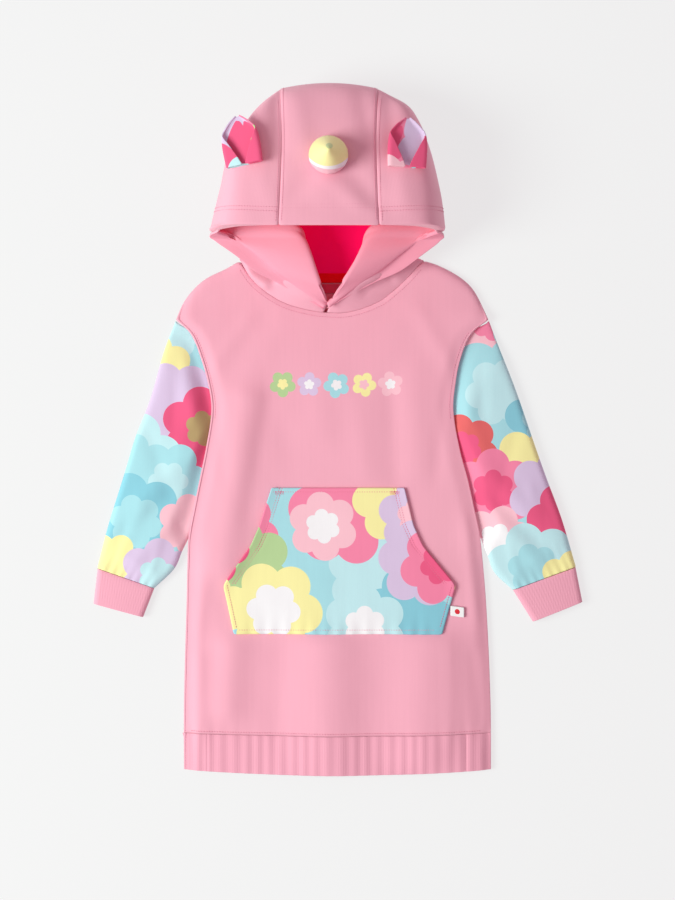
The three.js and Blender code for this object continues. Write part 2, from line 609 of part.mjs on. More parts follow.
// Where a sleeve changes shape: `bend` across it from the outer edge, `open` down it from the armhole
// to its full height, `tuck` across it from the inner edge, and `gather` down it before the cuff.
const SLEEVE_EASE = {
  bend: { from: 0, to: 0.15 },
  open: { from: 0.05, to: 0.22 },
  tuck: { from: 0.12, to: 0.6 },
  gather: { from: 0.9, to: 1 },
};

function sleeveLine(side, table, v) {
  const column = (name) => read(table, 'at', name, v);
  const outer = new THREE.Vector3(column('outerX'), column('outerY'), 0);
  const inner = new THREE.Vector3(column('innerX'), column('innerY'), 0);
  const bend = column('bend');
  const bodyEdge = side === 'left' ? (y) => guideX(0, y) + TUCK : (y) => guideX(3, y) - TUCK;
  const bendAt = (share) => {
    const x = lerp(table[0].outerX, table[0].innerX, (share + 1) / 2);
    const y = lerp(table[0].outerY, table[0].innerY, (share + 1) / 2);
    return bend * (bodyEdge(y) - x) * ease(1 + share, SLEEVE_EASE.bend);
  };
  return { outer, inner, bendAt };
}

function makeSleeve(side, table, end, colour) {
  const cuffTop = table[table.length - 1];
  const plain = () => 0;
  const topColumns = steps(10).map((t) => 0.5 - 0.5 * Math.cos(Math.PI * t));
  const columns = [...topColumns, ...topColumns.slice(1, -1).map((t) => 1 + t)];
  const skin = (shrink, thickness) => (u, v) => {
    const line = sleeveLine(side, table, v);
    const tuck = clamp(read(table, 'at', 'tuck', v), 0, 1);
    const heights = (share) => {
      const fromEnd = ease(v, SLEEVE_EASE.open);
      const fromInner = lerp(1, ease(1 - share, SLEEVE_EASE.tuck), tuck);
      const full = Math.min(fromEnd, fromInner);
      const place = line.outer.clone().lerp(line.inner, (share + 1) / 2);
      const fade = full * (1 - ease(v, SLEEVE_EASE.gather));
      const folds = foldHeight(SLEEVE_FOLDS, place.x, place.y) * fade;
      return { height: lerp(TUCKED_HEIGHT, SLEEVE_HEIGHT, full), folds: Math.max(folds, 0) };
    };
    return tubePoint(line, u, heights, shrink, thickness, plain);
  };
  add(`sleeve_${side}`, wall(columns, steps(11), skin(0, 0), skin(JERSEY, JERSEY), true), colour);

  const first = new THREE.Vector3(cuffTop.outerX, cuffTop.outerY, 0);
  const firstInner = new THREE.Vector3(cuffTop.innerX, cuffTop.innerY, 0);
  const last = new THREE.Vector3(end.outerX, end.outerY, 0);
  const lastInner = new THREE.Vector3(end.innerX, end.innerY, 0);
  const clearance = GAP / first.distanceTo(last);
  const width = last.distanceTo(lastInner);
  const ribs = Math.round(width / RIB_PITCH);
  const cuff = (shrink, thickness, relief) => (u, v) => {
    const share = lerp(clearance, 1, v);
    const line = {
      outer: first.clone().lerp(last, share),
      inner: firstInner.clone().lerp(lastInner, share),
      bendAt: () => 0,
    };
    const heights = () => ({ height: CUFF_HEIGHT, folds: 0 });
    return tubePoint(line, u, heights, shrink, thickness, relief);
  };
  const raised = (x) => (RIB_DEPTH / 2) * (1 + Math.cos((2 * Math.PI * ribs * x) / width));
  const outerCuff = cuff(0, 0, raised);
  const innerCuff = cuff(RIB_CLOTH, RIB_CLOTH, plain);
  const edgeIn = [0, 0.012, 0.035];
  const cuffColumns = [
    ...edgeIn,
    ...steps(2 * ribs - 2, 0.06, 0.94),
    ...edgeIn.slice(1).map((share) => 1 - share).reverse(),
    ...[0, 0.02, 0.06, 0.12, 0.31, 0.5, 0.69, 0.88, 0.94, 0.98].map((share) => 1 + share),
  ];
  add(`cuff_${side}`, wall(cuffColumns, steps(2), outerCuff, innerCuff, true), PINK);
}

// ---- Hood ----
// The necklines as the body's own grid has them, so that the hood follows them exactly.
const NECK_COLUMNS = steps(MIDDLE_COLUMNS, 1, 2);
const FRONT_NECK_EDGE = NECK_COLUMNS.map((u) => plan(u, 0, FRONT_NECK));
const BACK_NECK_EDGE = NECK_COLUMNS.map((u) => plan(u, 0, BACK_NECK));
const FRONT_NECK_CLEARANCE = 0.7; // along y, which leaves the seam's gap where the neckline is steep
const BACK_NECK_CLEARANCE = 1.5; // along y, for the hood's wall leans over the back's edge there

function spinePoint(at, across) {
  const z = Math.max(read(SPINE, 'at', 'z', at), 0);
  const half = read(SPINE, 'at', 'half', at);
  const arch = SPINE_ARCH * across * across * ease(at, ARCHED);
  const bow = smoothstep(at, BOWED.from, BOWED.full) * (1 - smoothstep(at, BOWED.until, BOWED.to));
  const x = HOOD_CENTRE_X + across * (half - GAP / 2);
  const neckline = read(BACK_NECK_EDGE, 'x', 'y', x, false) + BACK_NECK_CLEARANCE;
  const y = lerp(neckline, read(SPINE, 'at', 'y', at), clamp(at / SPINE[1].at, 0, 1));
  return new THREE.Vector3(x, y - CROWN_BOW * across * across * bow, z - arch);
}

function makeHoodCentre() {
  const skin = (u, v) => spinePoint(v, u);
  add('hood_centre', wall(steps(4, -1, 1), steps(22), skin, behind(skin, HOOD_CLOTH)), PINK);
}

function hoodSideSkin(side) {
  const sign = side === 'left' ? -1 : 1;
  const corner = side === 'left' ? FRONT_NECK[0].x : FRONT_NECK[FRONT_NECK.length - 1].x;
  const column = (name, s) => read(HOOD_ROWS, 'at', name, s);
  const own = (name, s) => read(HOOD_SIDES[side], 'at', name, s);
  const centre = (y) => lerp(NECK_CENTRE_X, HOOD_CENTRE_X, ease(y, CENTRE_SHIFT));
  // Round the crown's corner the side wall stands outside the centre panel's edge.
  const onSpine = (at, s) => {
    const point = spinePoint(at, sign);
    point.x += sign * (GAP + HOOD_CLOTH * (1 - ease(s, CORNER_EASE)));
    return point;
  };
  const point = (name, s) => {
    const y = column(`${name}Y`, s);
    const out = column(`${name}Out`, s) + own(name, s);
    return new THREE.Vector3(centre(y) + sign * out, y, column(`${name}Z`, s) - own('drop', s));
  };
  return (u, v) => {
    const s = clamp(v, 0, 1) * (HOOD_ROWS.length - 1);
    const edge = s <= RIM_ROW ? onSpine(clamp(column('crown', s), 0, 1), s)
      : point('edge', s);
    const cheek = point('cheek', s);
    const turn = point('roll', s);
    const neck = s < CORNER_ROW ? BACK_NECK_EDGE : FRONT_NECK_EDGE;
    const clearance = s < CORNER_ROW ? BACK_NECK_CLEARANCE : FRONT_NECK_CLEARANCE;
    const baseX = lerp(NECK_CENTRE_X, corner, column('base', s));
    const base = s <= NECK_ROW ? onSpine(clamp(column('floor', s), 0, 1), s)
      : new THREE.Vector3(baseX, read(neck, 'x', 'y', baseX, false) + clearance, column('baseZ', s));
    const brow = edge.clone().lerp(cheek, 0.5);
    brow.x = lerp(edge.x, cheek.x, BROW.out);
    brow.z = lerp(cheek.z, edge.z, BROW.rise);
    const row = new THREE.CatmullRomCurve3([edge, brow, cheek, turn, base], false, 'centripetal');
    const found = row.getPoint(clamp(u, 0, 1));
    found.z = Math.max(found.z, 0);
    return found;
  };
}

function makeHoodSide(side) {
  const skin = hoodSideSkin(side);
  const sign = side === 'left' ? -1 : 1;
  const lining = behind(skin, sign * HOOD_CLOTH);
  // The inner skin keeps clear of the seams with the centre panel.
  const mitred = (u, v) => {
    const point = lining(u, v);
    const row = v * (HOOD_ROWS.length - 1);
    const out = (x) => Math.abs(x - HOOD_CENTRE_X);
    const corner = HOOD_CLOTH * (1 - ease(row, CORNER_EASE));
    const nearFloor = u > 0.9 || row < 3;
    const crownSeam = row <= RIM_ROW && u < 0.5 ? out(skin(0, v).x) - corner : 0;
    const floorSeam = row <= NECK_ROW && nearFloor ? out(skin(1, v).x) - corner : 0;
    const least = Math.max(crownSeam, floorSeam);
    const onSeam = (u === 0 && row <= RIM_ROW) || (u === 1 && row <= NECK_ROW);
    if (onSeam) point.x = HOOD_CENTRE_X + sign * (out(skin(u, v).x) - corner);
    else if (out(point.x) < least) point.x = HOOD_CENTRE_X + sign * least;
    point.z = Math.max(point.z, HOOD_CLOTH);
    return point;
  };
  add(`hood_${side}`, wall(steps(14), steps(24), skin, mitred), PINK);
}

// The place on the spine where the crown has a given y.
function crownAt(y) {
  let low = CROWN_START;
  let high = 1;
  for (let k = 0; k < HALVINGS; k += 1) {
    const middle = (low + high) / 2;
    if (read(SPINE, 'at', 'y', middle) > y) low = middle;
    else high = middle;
  }
  return low;
}

function crownTop(x, y) {
  const at = crownAt(y);
  const across = (x - HOOD_CENTRE_X) / read(SPINE, 'at', 'half', at);
  return spinePoint(at, across).z;
}

function makeHorn() {
  const profile = [new THREE.Vector2(0, 0), new THREE.Vector2(HORN.radius / 2, 0)];
  for (const { at, radius } of HORN_PROFILE) {
    profile.push(new THREE.Vector2(HORN.radius * radius, HORN.height * at));
  }
  profile.push(new THREE.Vector2(0, HORN.height));
  const cone = new THREE.LatheGeometry(profile, HORN.sides);
  cone.rotateX(Math.PI / 2);
  cone.deleteAttribute('normal');
  cone.deleteAttribute('uv');
  const points = cone.getAttribute('position');
  for (let k = 0; k < points.count; k += 1) {
    const x = HORN.x + points.getX(k);
    const y = HORN.y + points.getY(k);
    points.setXYZ(k, x, y, crownTop(x, y) + GAP + points.getZ(k));
  }
  add('horn', closed([...points.array], [...cone.getIndex().array]), YELLOW);
}

// The point of a hood row that lies a given distance out from the hood's centre line.
function onHoodRow(skin, v, out) {
  let low = 0;
  let high = 0.5;
  for (let k = 0; k < HALVINGS; k += 1) {
    const middle = (low + high) / 2;
    if (Math.abs(skin(middle, v).x - HOOD_CENTRE_X) < out) low = middle;
    else high = middle;
  }
  return skin(low, v);
}

function makeEar(side) {
  const sign = side === 'left' ? -1 : 1;
  const base = EAR_BASES[side];
  const v0 = base.row / (HOOD_ROWS.length - 1);
  const over = behind(hoodSideSkin(side), -sign * (EAR.cloth + 2 * GAP));
  const middle = (base.near + base.far) / 2;
  const middleFoot = onHoodRow(over, v0, middle);
  const skin = (u, v) => {
    const narrow = read(EAR_OUTLINE, 'at', 'half', v) / EAR_OUTLINE[0].half;
    const foot = onHoodRow(over, v0, lerp(base.near, base.far, (u + 1) / 2));
    const out = lerp(middle, base.tip, v) + (u * narrow * (base.far - base.near)) / 2;
    const rise = EAR.rise * v + EAR.cup * u * u * Math.min(3 * v, 1) * narrow;
    const z = lerp(middleFoot.z, foot.z, narrow) + rise;
    return new THREE.Vector3(HOOD_CENTRE_X + sign * out, foot.y + EAR.length * v, z);
  };
  const ear = wall(steps(6, -1, 1), steps(7), skin, behind(skin, -sign * EAR.cloth));
  add(`ear_${side}`, ear, PRINT_PINK);
}

// ---- Neck tape and label, on the inside of the back ----
function makeNeckTrim() {
  const level = JERSEY + GAP;
  const strip = ({ x0, x1, depth, cloth }, upper) => {
    const skin = (z) => (u, v) => {
      const x = lerp(x0, x1, u);
      return new THREE.Vector3(x, upper(x) - depth * v, z);
    };
    return wall(steps(8), [0, 1], skin(level + cloth), skin(level));
  };
  const tape = { x0: -42, x1: 24, depth: 8, cloth: 0.9 };
  const label = { x0: -17, x1: 3, depth: 10, cloth: 0.7, y: 158.5 };
  add('neck_tape', strip(tape, (x) => read(BACK_NECK, 'x', 'y', x) - 1), RED);
  add('neck_label', strip(label, () => label.y), WHITE);
}

makeBody();
makePocket();
makeSleeve('left', LEFT_SLEEVE, LEFT_CUFF_END, AQUA);
makeSleeve('right', RIGHT_SLEEVE, RIGHT_CUFF_END, AQUA);
makeHoodCentre();
makeHoodSide('left');
makeHoodSide('right');
makeHorn();
makeEar('left');
makeEar('right');
makeNeckTrim();

// The origin is the middle of the dress's outline, on the surface it lies on.
const bounds = new THREE.Box3().setFromObject(dress);
const middle = bounds.getCenter(new THREE.Vector3());
dress.position.set(-middle.x, -middle.y, -bounds.min.z);

export default dress;
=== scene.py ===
"""A child's hooded sweatshirt dress laid flat: cloth, print, sewing, light and camera.

Lengths in the tables are millimetres, in the part's own drawing frame: +X to the right as one
looks down on the dress, +Y from hem to hood and +Z up off the floor.
"""
import math

import bpy
import numpy as np
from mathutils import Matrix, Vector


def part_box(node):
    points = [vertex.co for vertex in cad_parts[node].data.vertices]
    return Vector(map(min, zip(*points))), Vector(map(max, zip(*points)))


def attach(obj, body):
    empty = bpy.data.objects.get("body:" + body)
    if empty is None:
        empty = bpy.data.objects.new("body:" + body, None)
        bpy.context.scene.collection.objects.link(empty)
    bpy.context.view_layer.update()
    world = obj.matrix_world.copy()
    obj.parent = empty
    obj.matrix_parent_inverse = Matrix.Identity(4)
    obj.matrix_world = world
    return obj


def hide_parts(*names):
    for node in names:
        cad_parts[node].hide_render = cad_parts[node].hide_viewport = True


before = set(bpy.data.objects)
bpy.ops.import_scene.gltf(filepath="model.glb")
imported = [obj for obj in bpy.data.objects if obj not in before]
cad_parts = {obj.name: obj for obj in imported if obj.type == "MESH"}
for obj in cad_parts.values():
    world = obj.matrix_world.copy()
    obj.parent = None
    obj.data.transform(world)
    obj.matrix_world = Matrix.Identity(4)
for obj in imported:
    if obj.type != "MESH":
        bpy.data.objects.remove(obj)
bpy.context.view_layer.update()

MM = 0.001
# How thick the cloths are, and the room between two that lie on each other or meet at a seam.
JERSEY, RIB_CLOTH, HOOD_CLOTH, EAR_CLOTH = 2.0, 2.4, 2.6, 1.6
TAG_CLOTH, TAPE_CLOTH, LABEL_CLOTH = 1.2, 0.9, 0.7
GAP, SEAM_GAP = 0.3, 0.04
SEAM_CREASE = 0.7  # how square a piece's cut edges stay when it is smoothed

# The drawing frame's origin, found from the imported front.
front_low, front_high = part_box("front")
SHIFT = np.array([front_low.x / MM + 177.0, front_high.y / MM - 184.5, 0.0])

# ---- tables


def table(names, *rows):
    return dict(zip(names.split(), np.array(rows, float).T))


SIDE_EDGES = table(
    "y left right",
    (119, -177, 165.5), (104, -161, 147), (75, -149, 134.5), (48, -141.5, 129.3),
    (20, -138, 127), (-21.5, -144, 133.7), (-57, -151.3, 143.2), (-90, -157.9, 150.5),
    (-120, -163.4, 156.5), (-189, -165.6, 163), (-299, -168.5, 168), (-380, -168.5, 168.5),
)
GUIDES = table(
    "y left right",
    (184.5, -107, 94), (60, -84, 80), (-65, -72, 73), (-106, -85, 83), (-129, -95, 93.5),
    (-172, -125, 129.5), (-225, -113.5, 114.5), (-334, -112, 112), (-380, -112, 112),
)
LEFT_SHOULDER = table("x y", (-177, 119), (-168, 140), (-148, 162), (-121, 176), (-107, 184.5))
RIGHT_SHOULDER = table("x y", (94, 184.5), (113, 178), (138, 163.5), (152, 148), (165.5, 119))
FRONT_NECK = table(
    "x y",
    (-107, 184.5), (-97, 167), (-86, 155), (-62, 139), (-38, 131), (-13.5, 127), (13, 127.5),
    (45, 138.5), (63, 152), (77, 165), (94, 184.5),
)
BACK_NECK = table(
    "x y",
    (-107, 184.5), (-90, 176), (-50, 170), (-7, 168.5), (40, 170), (77, 176), (94, 184.5),
)
# The panels' levels: their corners at the top, then the pocket's top and foot, the band's seam
# and the hem.
TOP_LEVELS = (119, 184.5, 184.5, 119)
POCKET_TOP, POCKET_FOOT, BAND_SEAM = -65, -225, -334
ZONE_LEVELS = (POCKET_TOP, POCKET_FOOT, BAND_SEAM, -374)
POCKET_CORNER = -172
HALF_HEM, HEM_DIP = 168, 6
RIB_PITCH, RIB_DEPTH, CUFF_RIB_DEPTH = 2.9, 0.045, 0.14
BAND_SEAMS = (-142.5, 141)

# How high the body lies: its side seam, the same where the sleeve goes between front and back,
# the front's level, and what its middle and the armpits add.
SIDE_SEAM, SLEEVE_SEAM = 4.5, 8.6
FRONT_LEVEL, MIDDLE_RISE, ARMPIT_RISE = 8, 2.6, 3.8
LEFT_FALL, RIGHT_FALL = 3.4, 2.4
EDGE_RADIUS = 9
SEAM_REACH = 2.4  # half the width of the dip along a seam of the body
SLEEVE_HEIGHT, ARMHOLE_HEIGHT, CUFF_HEIGHT = 10.5, 5.2, 9.4
TUCK_IN = 2.5  # how far the sleeve's edge goes under the body's
SLEEVE_LENGTH = 290

# Folds as they lie on the body, each from one end to the other; a trough has a negative height.
FRONT_FOLDS = table(
    "x0 y0 x1 y1 width height",
    (-99, 30, -127, -150, 22, 5.6), (-78, 20, -98, -92, 9, -1.0), (24, 30, 32, -50, 16, 1.1),
    (58, 36, 64, -50, 11, -1.2), (84, 60, 88, -40, 15, 1.0), (-115, -242, -120, -304, 19, 4.0),
    (-152, -256, -150, -330, 9, 1.6), (-7, -240, -9, -370, 38, 7.4), (100, -238, 96, -360, 38, 6.4),
    (122, -246, 124, -330, 9, 1.0), (150, -256, 156, -322, 8, -1.2), (-60, -240, -66, -330, 12, -0.8),
    (-98, 118, -140, 62, 10, 1.1), (88, 128, 124, 70, 11, 1.2), (-60, 118, -92, 66, 16, 0.7),
    (-10, 66, -26, 0, 20, 0.7), (-134, 20, -124, -50, 8, -0.8), (118, 30, 108, -48, 9, -0.9),
    (-140, -130, -152, -215, 8, 1.0), (142, -110, 152, -200, 8, 1.0),
)
LEFT_SLEEVE = table(
    "at outer_x outer_y inner_x inner_y bend tuck",
    (0, -178, 118, -134, -2, 1, 1), (0.16, -190, 86, -141, -28, 0.75, 1),
    (0.33, -206, 31, -148.3, -63, 0.3, 1), (0.5, -222, -10, -155.8, -98, 0.06, 1),
    (0.6, -231, -40, -162.5, -118, 0, 1), (0.7, -240, -69, -170, -134, 0, 0),
    (0.84, -251.5, -106, -179, -154, 0, 0), (1, -263.5, -153, -200.5, -175, 0, 0),
)
RIGHT_SLEEVE = table(
    "at outer_x outer_y inner_x inner_y bend tuck",
    (0, 166.5, 118, 123.5, -2, 1, 1), (0.16, 178.5, 86, 130.8, -28, 0.75, 1),
    (0.33, 195, 44, 140.6, -63, 0.3, 1), (0.5, 212, -5, 148, -98, 0.06, 1),
    (0.6, 221, -31, 156.5, -119, 0, 1), (0.7, 230, -56, 164, -138, 0, 0),
    (0.84, 246, -99, 172, -158, 0, 0), (1, 261.5, -151.5, 192, -177, 0, 0),
)
SLEEVES = {"left": LEFT_SLEEVE, "right": RIGHT_SLEEVE}
SLEEVE_FOLDS = table(
    "x0 y0 x1 y1 width height",
    (-176, 92, -168, 30, 9, 2.2), (-166, -30, -214, -78, 10, 1.8),
    (-184, -104, -222, -146, 9, 1.6), (160, 96, 150, 34, 9, 2.4),
    (158, -40, 204, -86, 10, 1.8), (186, -112, 222, -150, 9, 1.6),
)
SLEEVE_CREASES = table(
    "x0 y0 x1 y1 width height",
    (-186, 80, -186, 10, 6, -1.1), (-160, 40, -176, -20, 7, 0.9),
    (-206, -10, -186, -70, 8, -0.9), (-176, -70, -226, -112, 7, -1.0),
    (-214, -92, -240, -140, 7, 1.0), (-196, -130, -206, -168, 5, 0.9),
    (-234, -112, -248, -150, 5, -0.8), (172, 84, 168, 20, 6, -1.1),
    (150, 30, 166, -30, 7, 0.9), (196, -10, 178, -70, 8, -0.9),
    (168, -74, 214, -118, 7, -1.0), (212, -70, 236, -128, 7, 1.0),
    (190, -134, 200, -170, 5, 0.9), (226, -104, 242, -148, 5, -0.8),
)
CUFF_ENDS = {
    "left": ((-268, -192), (-213, -207)),
    "right": ((269, -190), (214, -212)),
}

HOOD_CENTRE_X = -9
NECK_CENTRE_X = -13.5
SPINE = table(
    "at y z half",
    (0, 172, 0, 38), (0.14, 225, 0, 45), (0.32, 300, 0, 50), (0.42, 340, 3, 51),
    (0.5, 364, 20, 52), (0.56, 371.5, 45, 52), (0.62, 363, 68, 52), (0.7, 338, 84, 51),
    (0.8, 300, 96, 50), (0.9, 256, 104, 51), (1, 212, 108, 53),
)
RIM_ROW, NECK_ROW, CORNER_ROW, LAST_ROW = 4, 6, 8, 12
HOOD_ROWS = table(
    "at crown floor edge_out edge_y edge_z cheek_out cheek_y cheek_z roll_out roll_y roll_z"
    " base base_z",
    (0, 0.585, 0.535, 52, 363, 52, 53, 363, 45, 52.5, 363, 40, 0.4, 0),
    (1, 0.68, 0.43, 52, 345, 78, 73, 344, 45, 66, 343, 15, 0.4, 0),
    (2, 0.79, 0.32, 50, 305, 93, 105, 304, 47, 88, 303, 12, 0.4, 0),
    (3, 0.9, 0.2, 51, 256, 102, 121, 256, 45, 90, 252, 15, 0.4, 0),
    (4, 1, 0.11, 53, 212, 106, 127, 220, 43, 60, 222, 30, 0.4, 0),
    (5, 1, 0.05, 92, 212, 95, 127, 214, 40, 40, 217, 40, 0.4, 0),
    (6, 1, 0, 118, 210.5, 71, 124, 211, 38, 37, 209, 42, 0.4, 0),
    (7, 1, 0, 129, 209, 41, 100, 205, 36, 32, 201, 43, 0.75, 3.5),
    (8, 1, 0, 119.5, 200.5, 34, 83, 196, 37, 27, 190, 44, 1, 7),
    (9, 1, 0, 97, 185, 30, 66, 183, 36, 22, 178, 43, 0.89, 8),
    (10, 1, 0, 79.5, 172, 26, 50, 170, 33, 15, 160, 38, 0.78, 8),
    (11, 1, 0, 55, 160, 22, 34, 157, 28, 9, 148, 29, 0.48, 8),
    (12, 1, 0, 7, 131, 19, 5.5, 134, 21, 4.5, 137, 17, 0.02, 8),
)
# What each side adds to those rows. The left lapel's end goes under the right one's.
HOOD_SIDES = {
    "left": table(
        "at cheek roll edge drop",
        (0, 0, 0, 0, 0), (0.5, 1.5, 0, 0, 0), (1, 2.5, 0, 0, 0), (2, 0, 0, 0, 0), (3, -4.5, 0, 0, 0),
        (4, -3, -2, 0, 0), (5, -2, -6, 0, 0), (9, 0, -6, 0, 0), (10, 0, -7, 0, 0),
        (11, -2, -8, -1, 2.5), (12, -6, -8, -5, 7.5),
    ),
    "right": table(
        "at cheek roll edge drop",
        (0, 0, 0, 0, 0), (0.5, 7, 3, 0, 0), (1, 14, 6, 0, 0), (1.5, 9, 4, 0, 0), (2, 1.5, 0, 0, 0),
        (3, -3, 0, 0, 0), (4, -5, 2, 0, 0), (5, -6, 7, -2, 0), (6, -6, 7, -4, 0), (7, -3, 7, -5, 0),
        (9, 0, 7, 0, 0), (10, 0, 4, 0, 0), (11, 0, 2, -1, 0), (12, -2.5, 1, -5.5, -1),
    ),
}
CROWN_BOW = 6
BROW_OUT, BROW_RISE = 0.79, 0.85  # how full the hood is between its rim and its cheek
RIM_Y = 212
RIM_HEM = (18, 22)  # the two rows of stitches above the rim
HOOD_SEAM_DIP, HOOD_SEAM_REACH = 0.9, 2.2
NECK_CLEARANCE = 0.1

EAR_BASES = {
    "left": {"row": 2.58, "near": 71, "far": 103},
    "right": {"row": 2.64, "near": 62, "far": 100},
}
EAR_SHAPE = table(
    "at half flap lift",
    (0, 19.5, 19, 4.5), (0.2, 20, 15, 5), (0.45, 20, 8.5, 5.5), (0.68, 18, 1, 5), (0.83, 12, 0.5, 3.5),
    (0.93, 6.5, 0.4, 2), (1, 1.6, 0.3, 1),
)
EAR_LENGTH = 53
EAR_TILT = {"left": 0.16, "right": -0.03}
EAR_LEAN = 0.22


# ---- small tools


def read(rows, along, column, place, smooth=True):
    """One column of a table at a place along another, straight or smoothly between the rows."""
    line, value = rows[along], rows[column]
    if line[-1] < line[0]:
        line, value = line[::-1], value[::-1]
    last = len(line) - 1
    place = np.clip(place, line[0], line[-1])
    k = np.clip(np.searchsorted(line, place, side="right") - 1, 0, last - 1)
    span = line[k + 1] - line[k]
    t = (place - line[k]) / span
    if not smooth:
        return value[k] + (value[k + 1] - value[k]) * t
    before, after = np.maximum(np.arange(last + 1) - 1, 0), np.minimum(np.arange(last + 1) + 1, last)
    slope = (value[after] - value[before]) / (line[after] - line[before])
    eased = t * t * (3 - 2 * t)
    bend = slope[k] * t * (1 - t) ** 2 - slope[k + 1] * t * t * (1 - t)
    return value[k] + (value[k + 1] - value[k]) * eased + span * bend


def lerp(a, b, t):
    return a + (b - a) * t


def ease(value, start, end):
    t = np.clip((value - start) / (end - start), 0, 1)
    return t * t * (3 - 2 * t)


def bump(run, reach):
    """1 at `run` = 0, falling off on both sides."""
    return np.exp(-((run / reach) ** 2))


def roll(run, radius):
    """0 at an edge and 1 from `radius` inward, along a quarter of an ellipse."""
    return np.sqrt(1 - (1 - np.clip(run, 0, radius) / radius) ** 2)


def fold_height(folds, x, y, fade=18):
    """The height of soft ridges and troughs, each along its own line."""
    height = 0
    for x0, y0, x1, y1, width, rise in zip(*(folds[n] for n in "x0 y0 x1 y1 width height".split())):
        length = math.hypot(x1 - x0, y1 - y0)
        along_x, along_y = (x1 - x0) / length, (y1 - y0) / length
        along = (x - x0) * along_x + (y - y0) * along_y
        across = (x - x0) * along_y - (y - y0) * along_x
        beyond = np.maximum(np.maximum(-along, along - length), 0)
        height = height + rise * np.exp(-((across / width) ** 2) - (beyond / fade) ** 2)
    return height


def ripple(x, y, seed, length=60.0):
    """Low uneven waves about one length long, between -1 and 1."""
    draw = np.random.default_rng(seed)
    total = 0
    for _ in range(7):
        angle, phase = draw.uniform(0, 2 * math.pi, 2)
        turn = 2 * math.pi / (length * draw.uniform(0.7, 1.6))
        total = total + np.sin((x * math.cos(angle) + y * math.sin(angle)) * turn + phase)
    return total / 7


def stack(x, y, z):
    return np.stack(np.broadcast_arrays(x, y, z), axis=-1).astype(float)


def normal_of(surface, u, v, small=1e-3):
    across = surface(u + small, v) - surface(u - small, v)
    down = surface(u, v + small) - surface(u, v - small)
    normal = np.cross(across, down)
    return normal / np.maximum(np.linalg.norm(normal, axis=-1, keepdims=True), 1e-9)


# ---- body surfaces


def guide_x(guide, y):
    rows, column = ((SIDE_EDGES, "left"), (GUIDES, "left"), (GUIDES, "right"), (SIDE_EDGES, "right"))[guide]
    return read(rows, "y", column, y, smooth=guide in (0, 3))


def guide_y(guide, v):
    top = TOP_LEVELS[guide]
    upper = top - (top - POCKET_TOP) * np.clip(v, 0, 1) ** 1.3
    lower = np.interp(v, (1, 2, 3, 4), ZONE_LEVELS)
    return np.where(v < 1, upper, lower)


def top_y(x, neck):
    y = read(neck, "x", "y", x)
    y = np.where(x < neck["x"][0], read(LEFT_SHOULDER, "x", "y", x), y)
    return np.where(x > neck["x"][-1], read(RIGHT_SHOULDER, "x", "y", x), y)


def share_across(band, t):
    """The grid's lines crowd towards the body's two sides."""
    crowd = 1.6
    return (t**crowd, t, 1 - (1 - t) ** crowd)[band]


def plan(u, v, neck):
    """Where a body panel's grid point lies: u is 0 to 3 across, v is 0 at the top and 4 at the hem."""
    x, y = np.zeros_like(u), np.zeros_like(u)
    bands = np.clip(np.floor(u), 0, 2)
    for band in range(3):
        here = bands == band
        share = share_across(band, u[here] - band)
        y0, y1 = guide_y(band, v[here]), guide_y(band + 1, v[here])
        bx = lerp(guide_x(band, y0), guide_x(band + 1, y1), share)
        by = lerp(y0, y1, share)
        tops = TOP_LEVELS[band], TOP_LEVELS[band + 1]
        top_x = lerp(guide_x(band, tops[0]), guide_x(band + 1, tops[1]), share)
        curve = top_y(top_x, neck) - lerp(tops[0], tops[1], share)
        left = (y0 - POCKET_TOP) / (tops[0] - POCKET_TOP)
        right = (y1 - POCKET_TOP) / (tops[1] - POCKET_TOP)
        by = by + np.where(v[here] < 1, curve * lerp(left, right, share), 0)
        x[here], y[here] = bx, by
    dip = np.where(v > 2, HEM_DIP * (v - 2) / 2 * (1 - (x / HALF_HEM) ** 2), 0)
    return x, y - dip


def body_place(x, y, neck):
    """How far in from the side and the top a point lies, where the sleeve lifts it, and the seam."""
    left, right = guide_x(0, y), guide_x(3, y)
    side_run = np.maximum(np.where(x < 0, x - left, right - x), 0)
    at_neck = (x > neck["x"][0]) & (x < neck["x"][-1])
    top_run = np.where(at_neck, 1e3, np.maximum(top_y(x, neck) - y, 0) * 0.7)
    lift = ease(y, -152, -118) * (1 - ease(y, 119, 142))
    return side_run, top_run, lift, lerp(SIDE_SEAM, SLEEVE_SEAM, lift)


def pucker(along, run, pitch, reach, seed):
    """Small uneven gathers beside a seam that runs at `run` = 0."""
    wave = np.sin(2 * math.pi * along / pitch + 2.2 * ripple(along, run * 0, seed, 5 * pitch))
    return wave * np.exp(-run / reach)


def hem_seam(x, y):
    """How far above the seam of the hem band a point lies."""
    return y - BAND_SEAM + HEM_DIP / 2 * (1 - (x / HALF_HEM) ** 2)


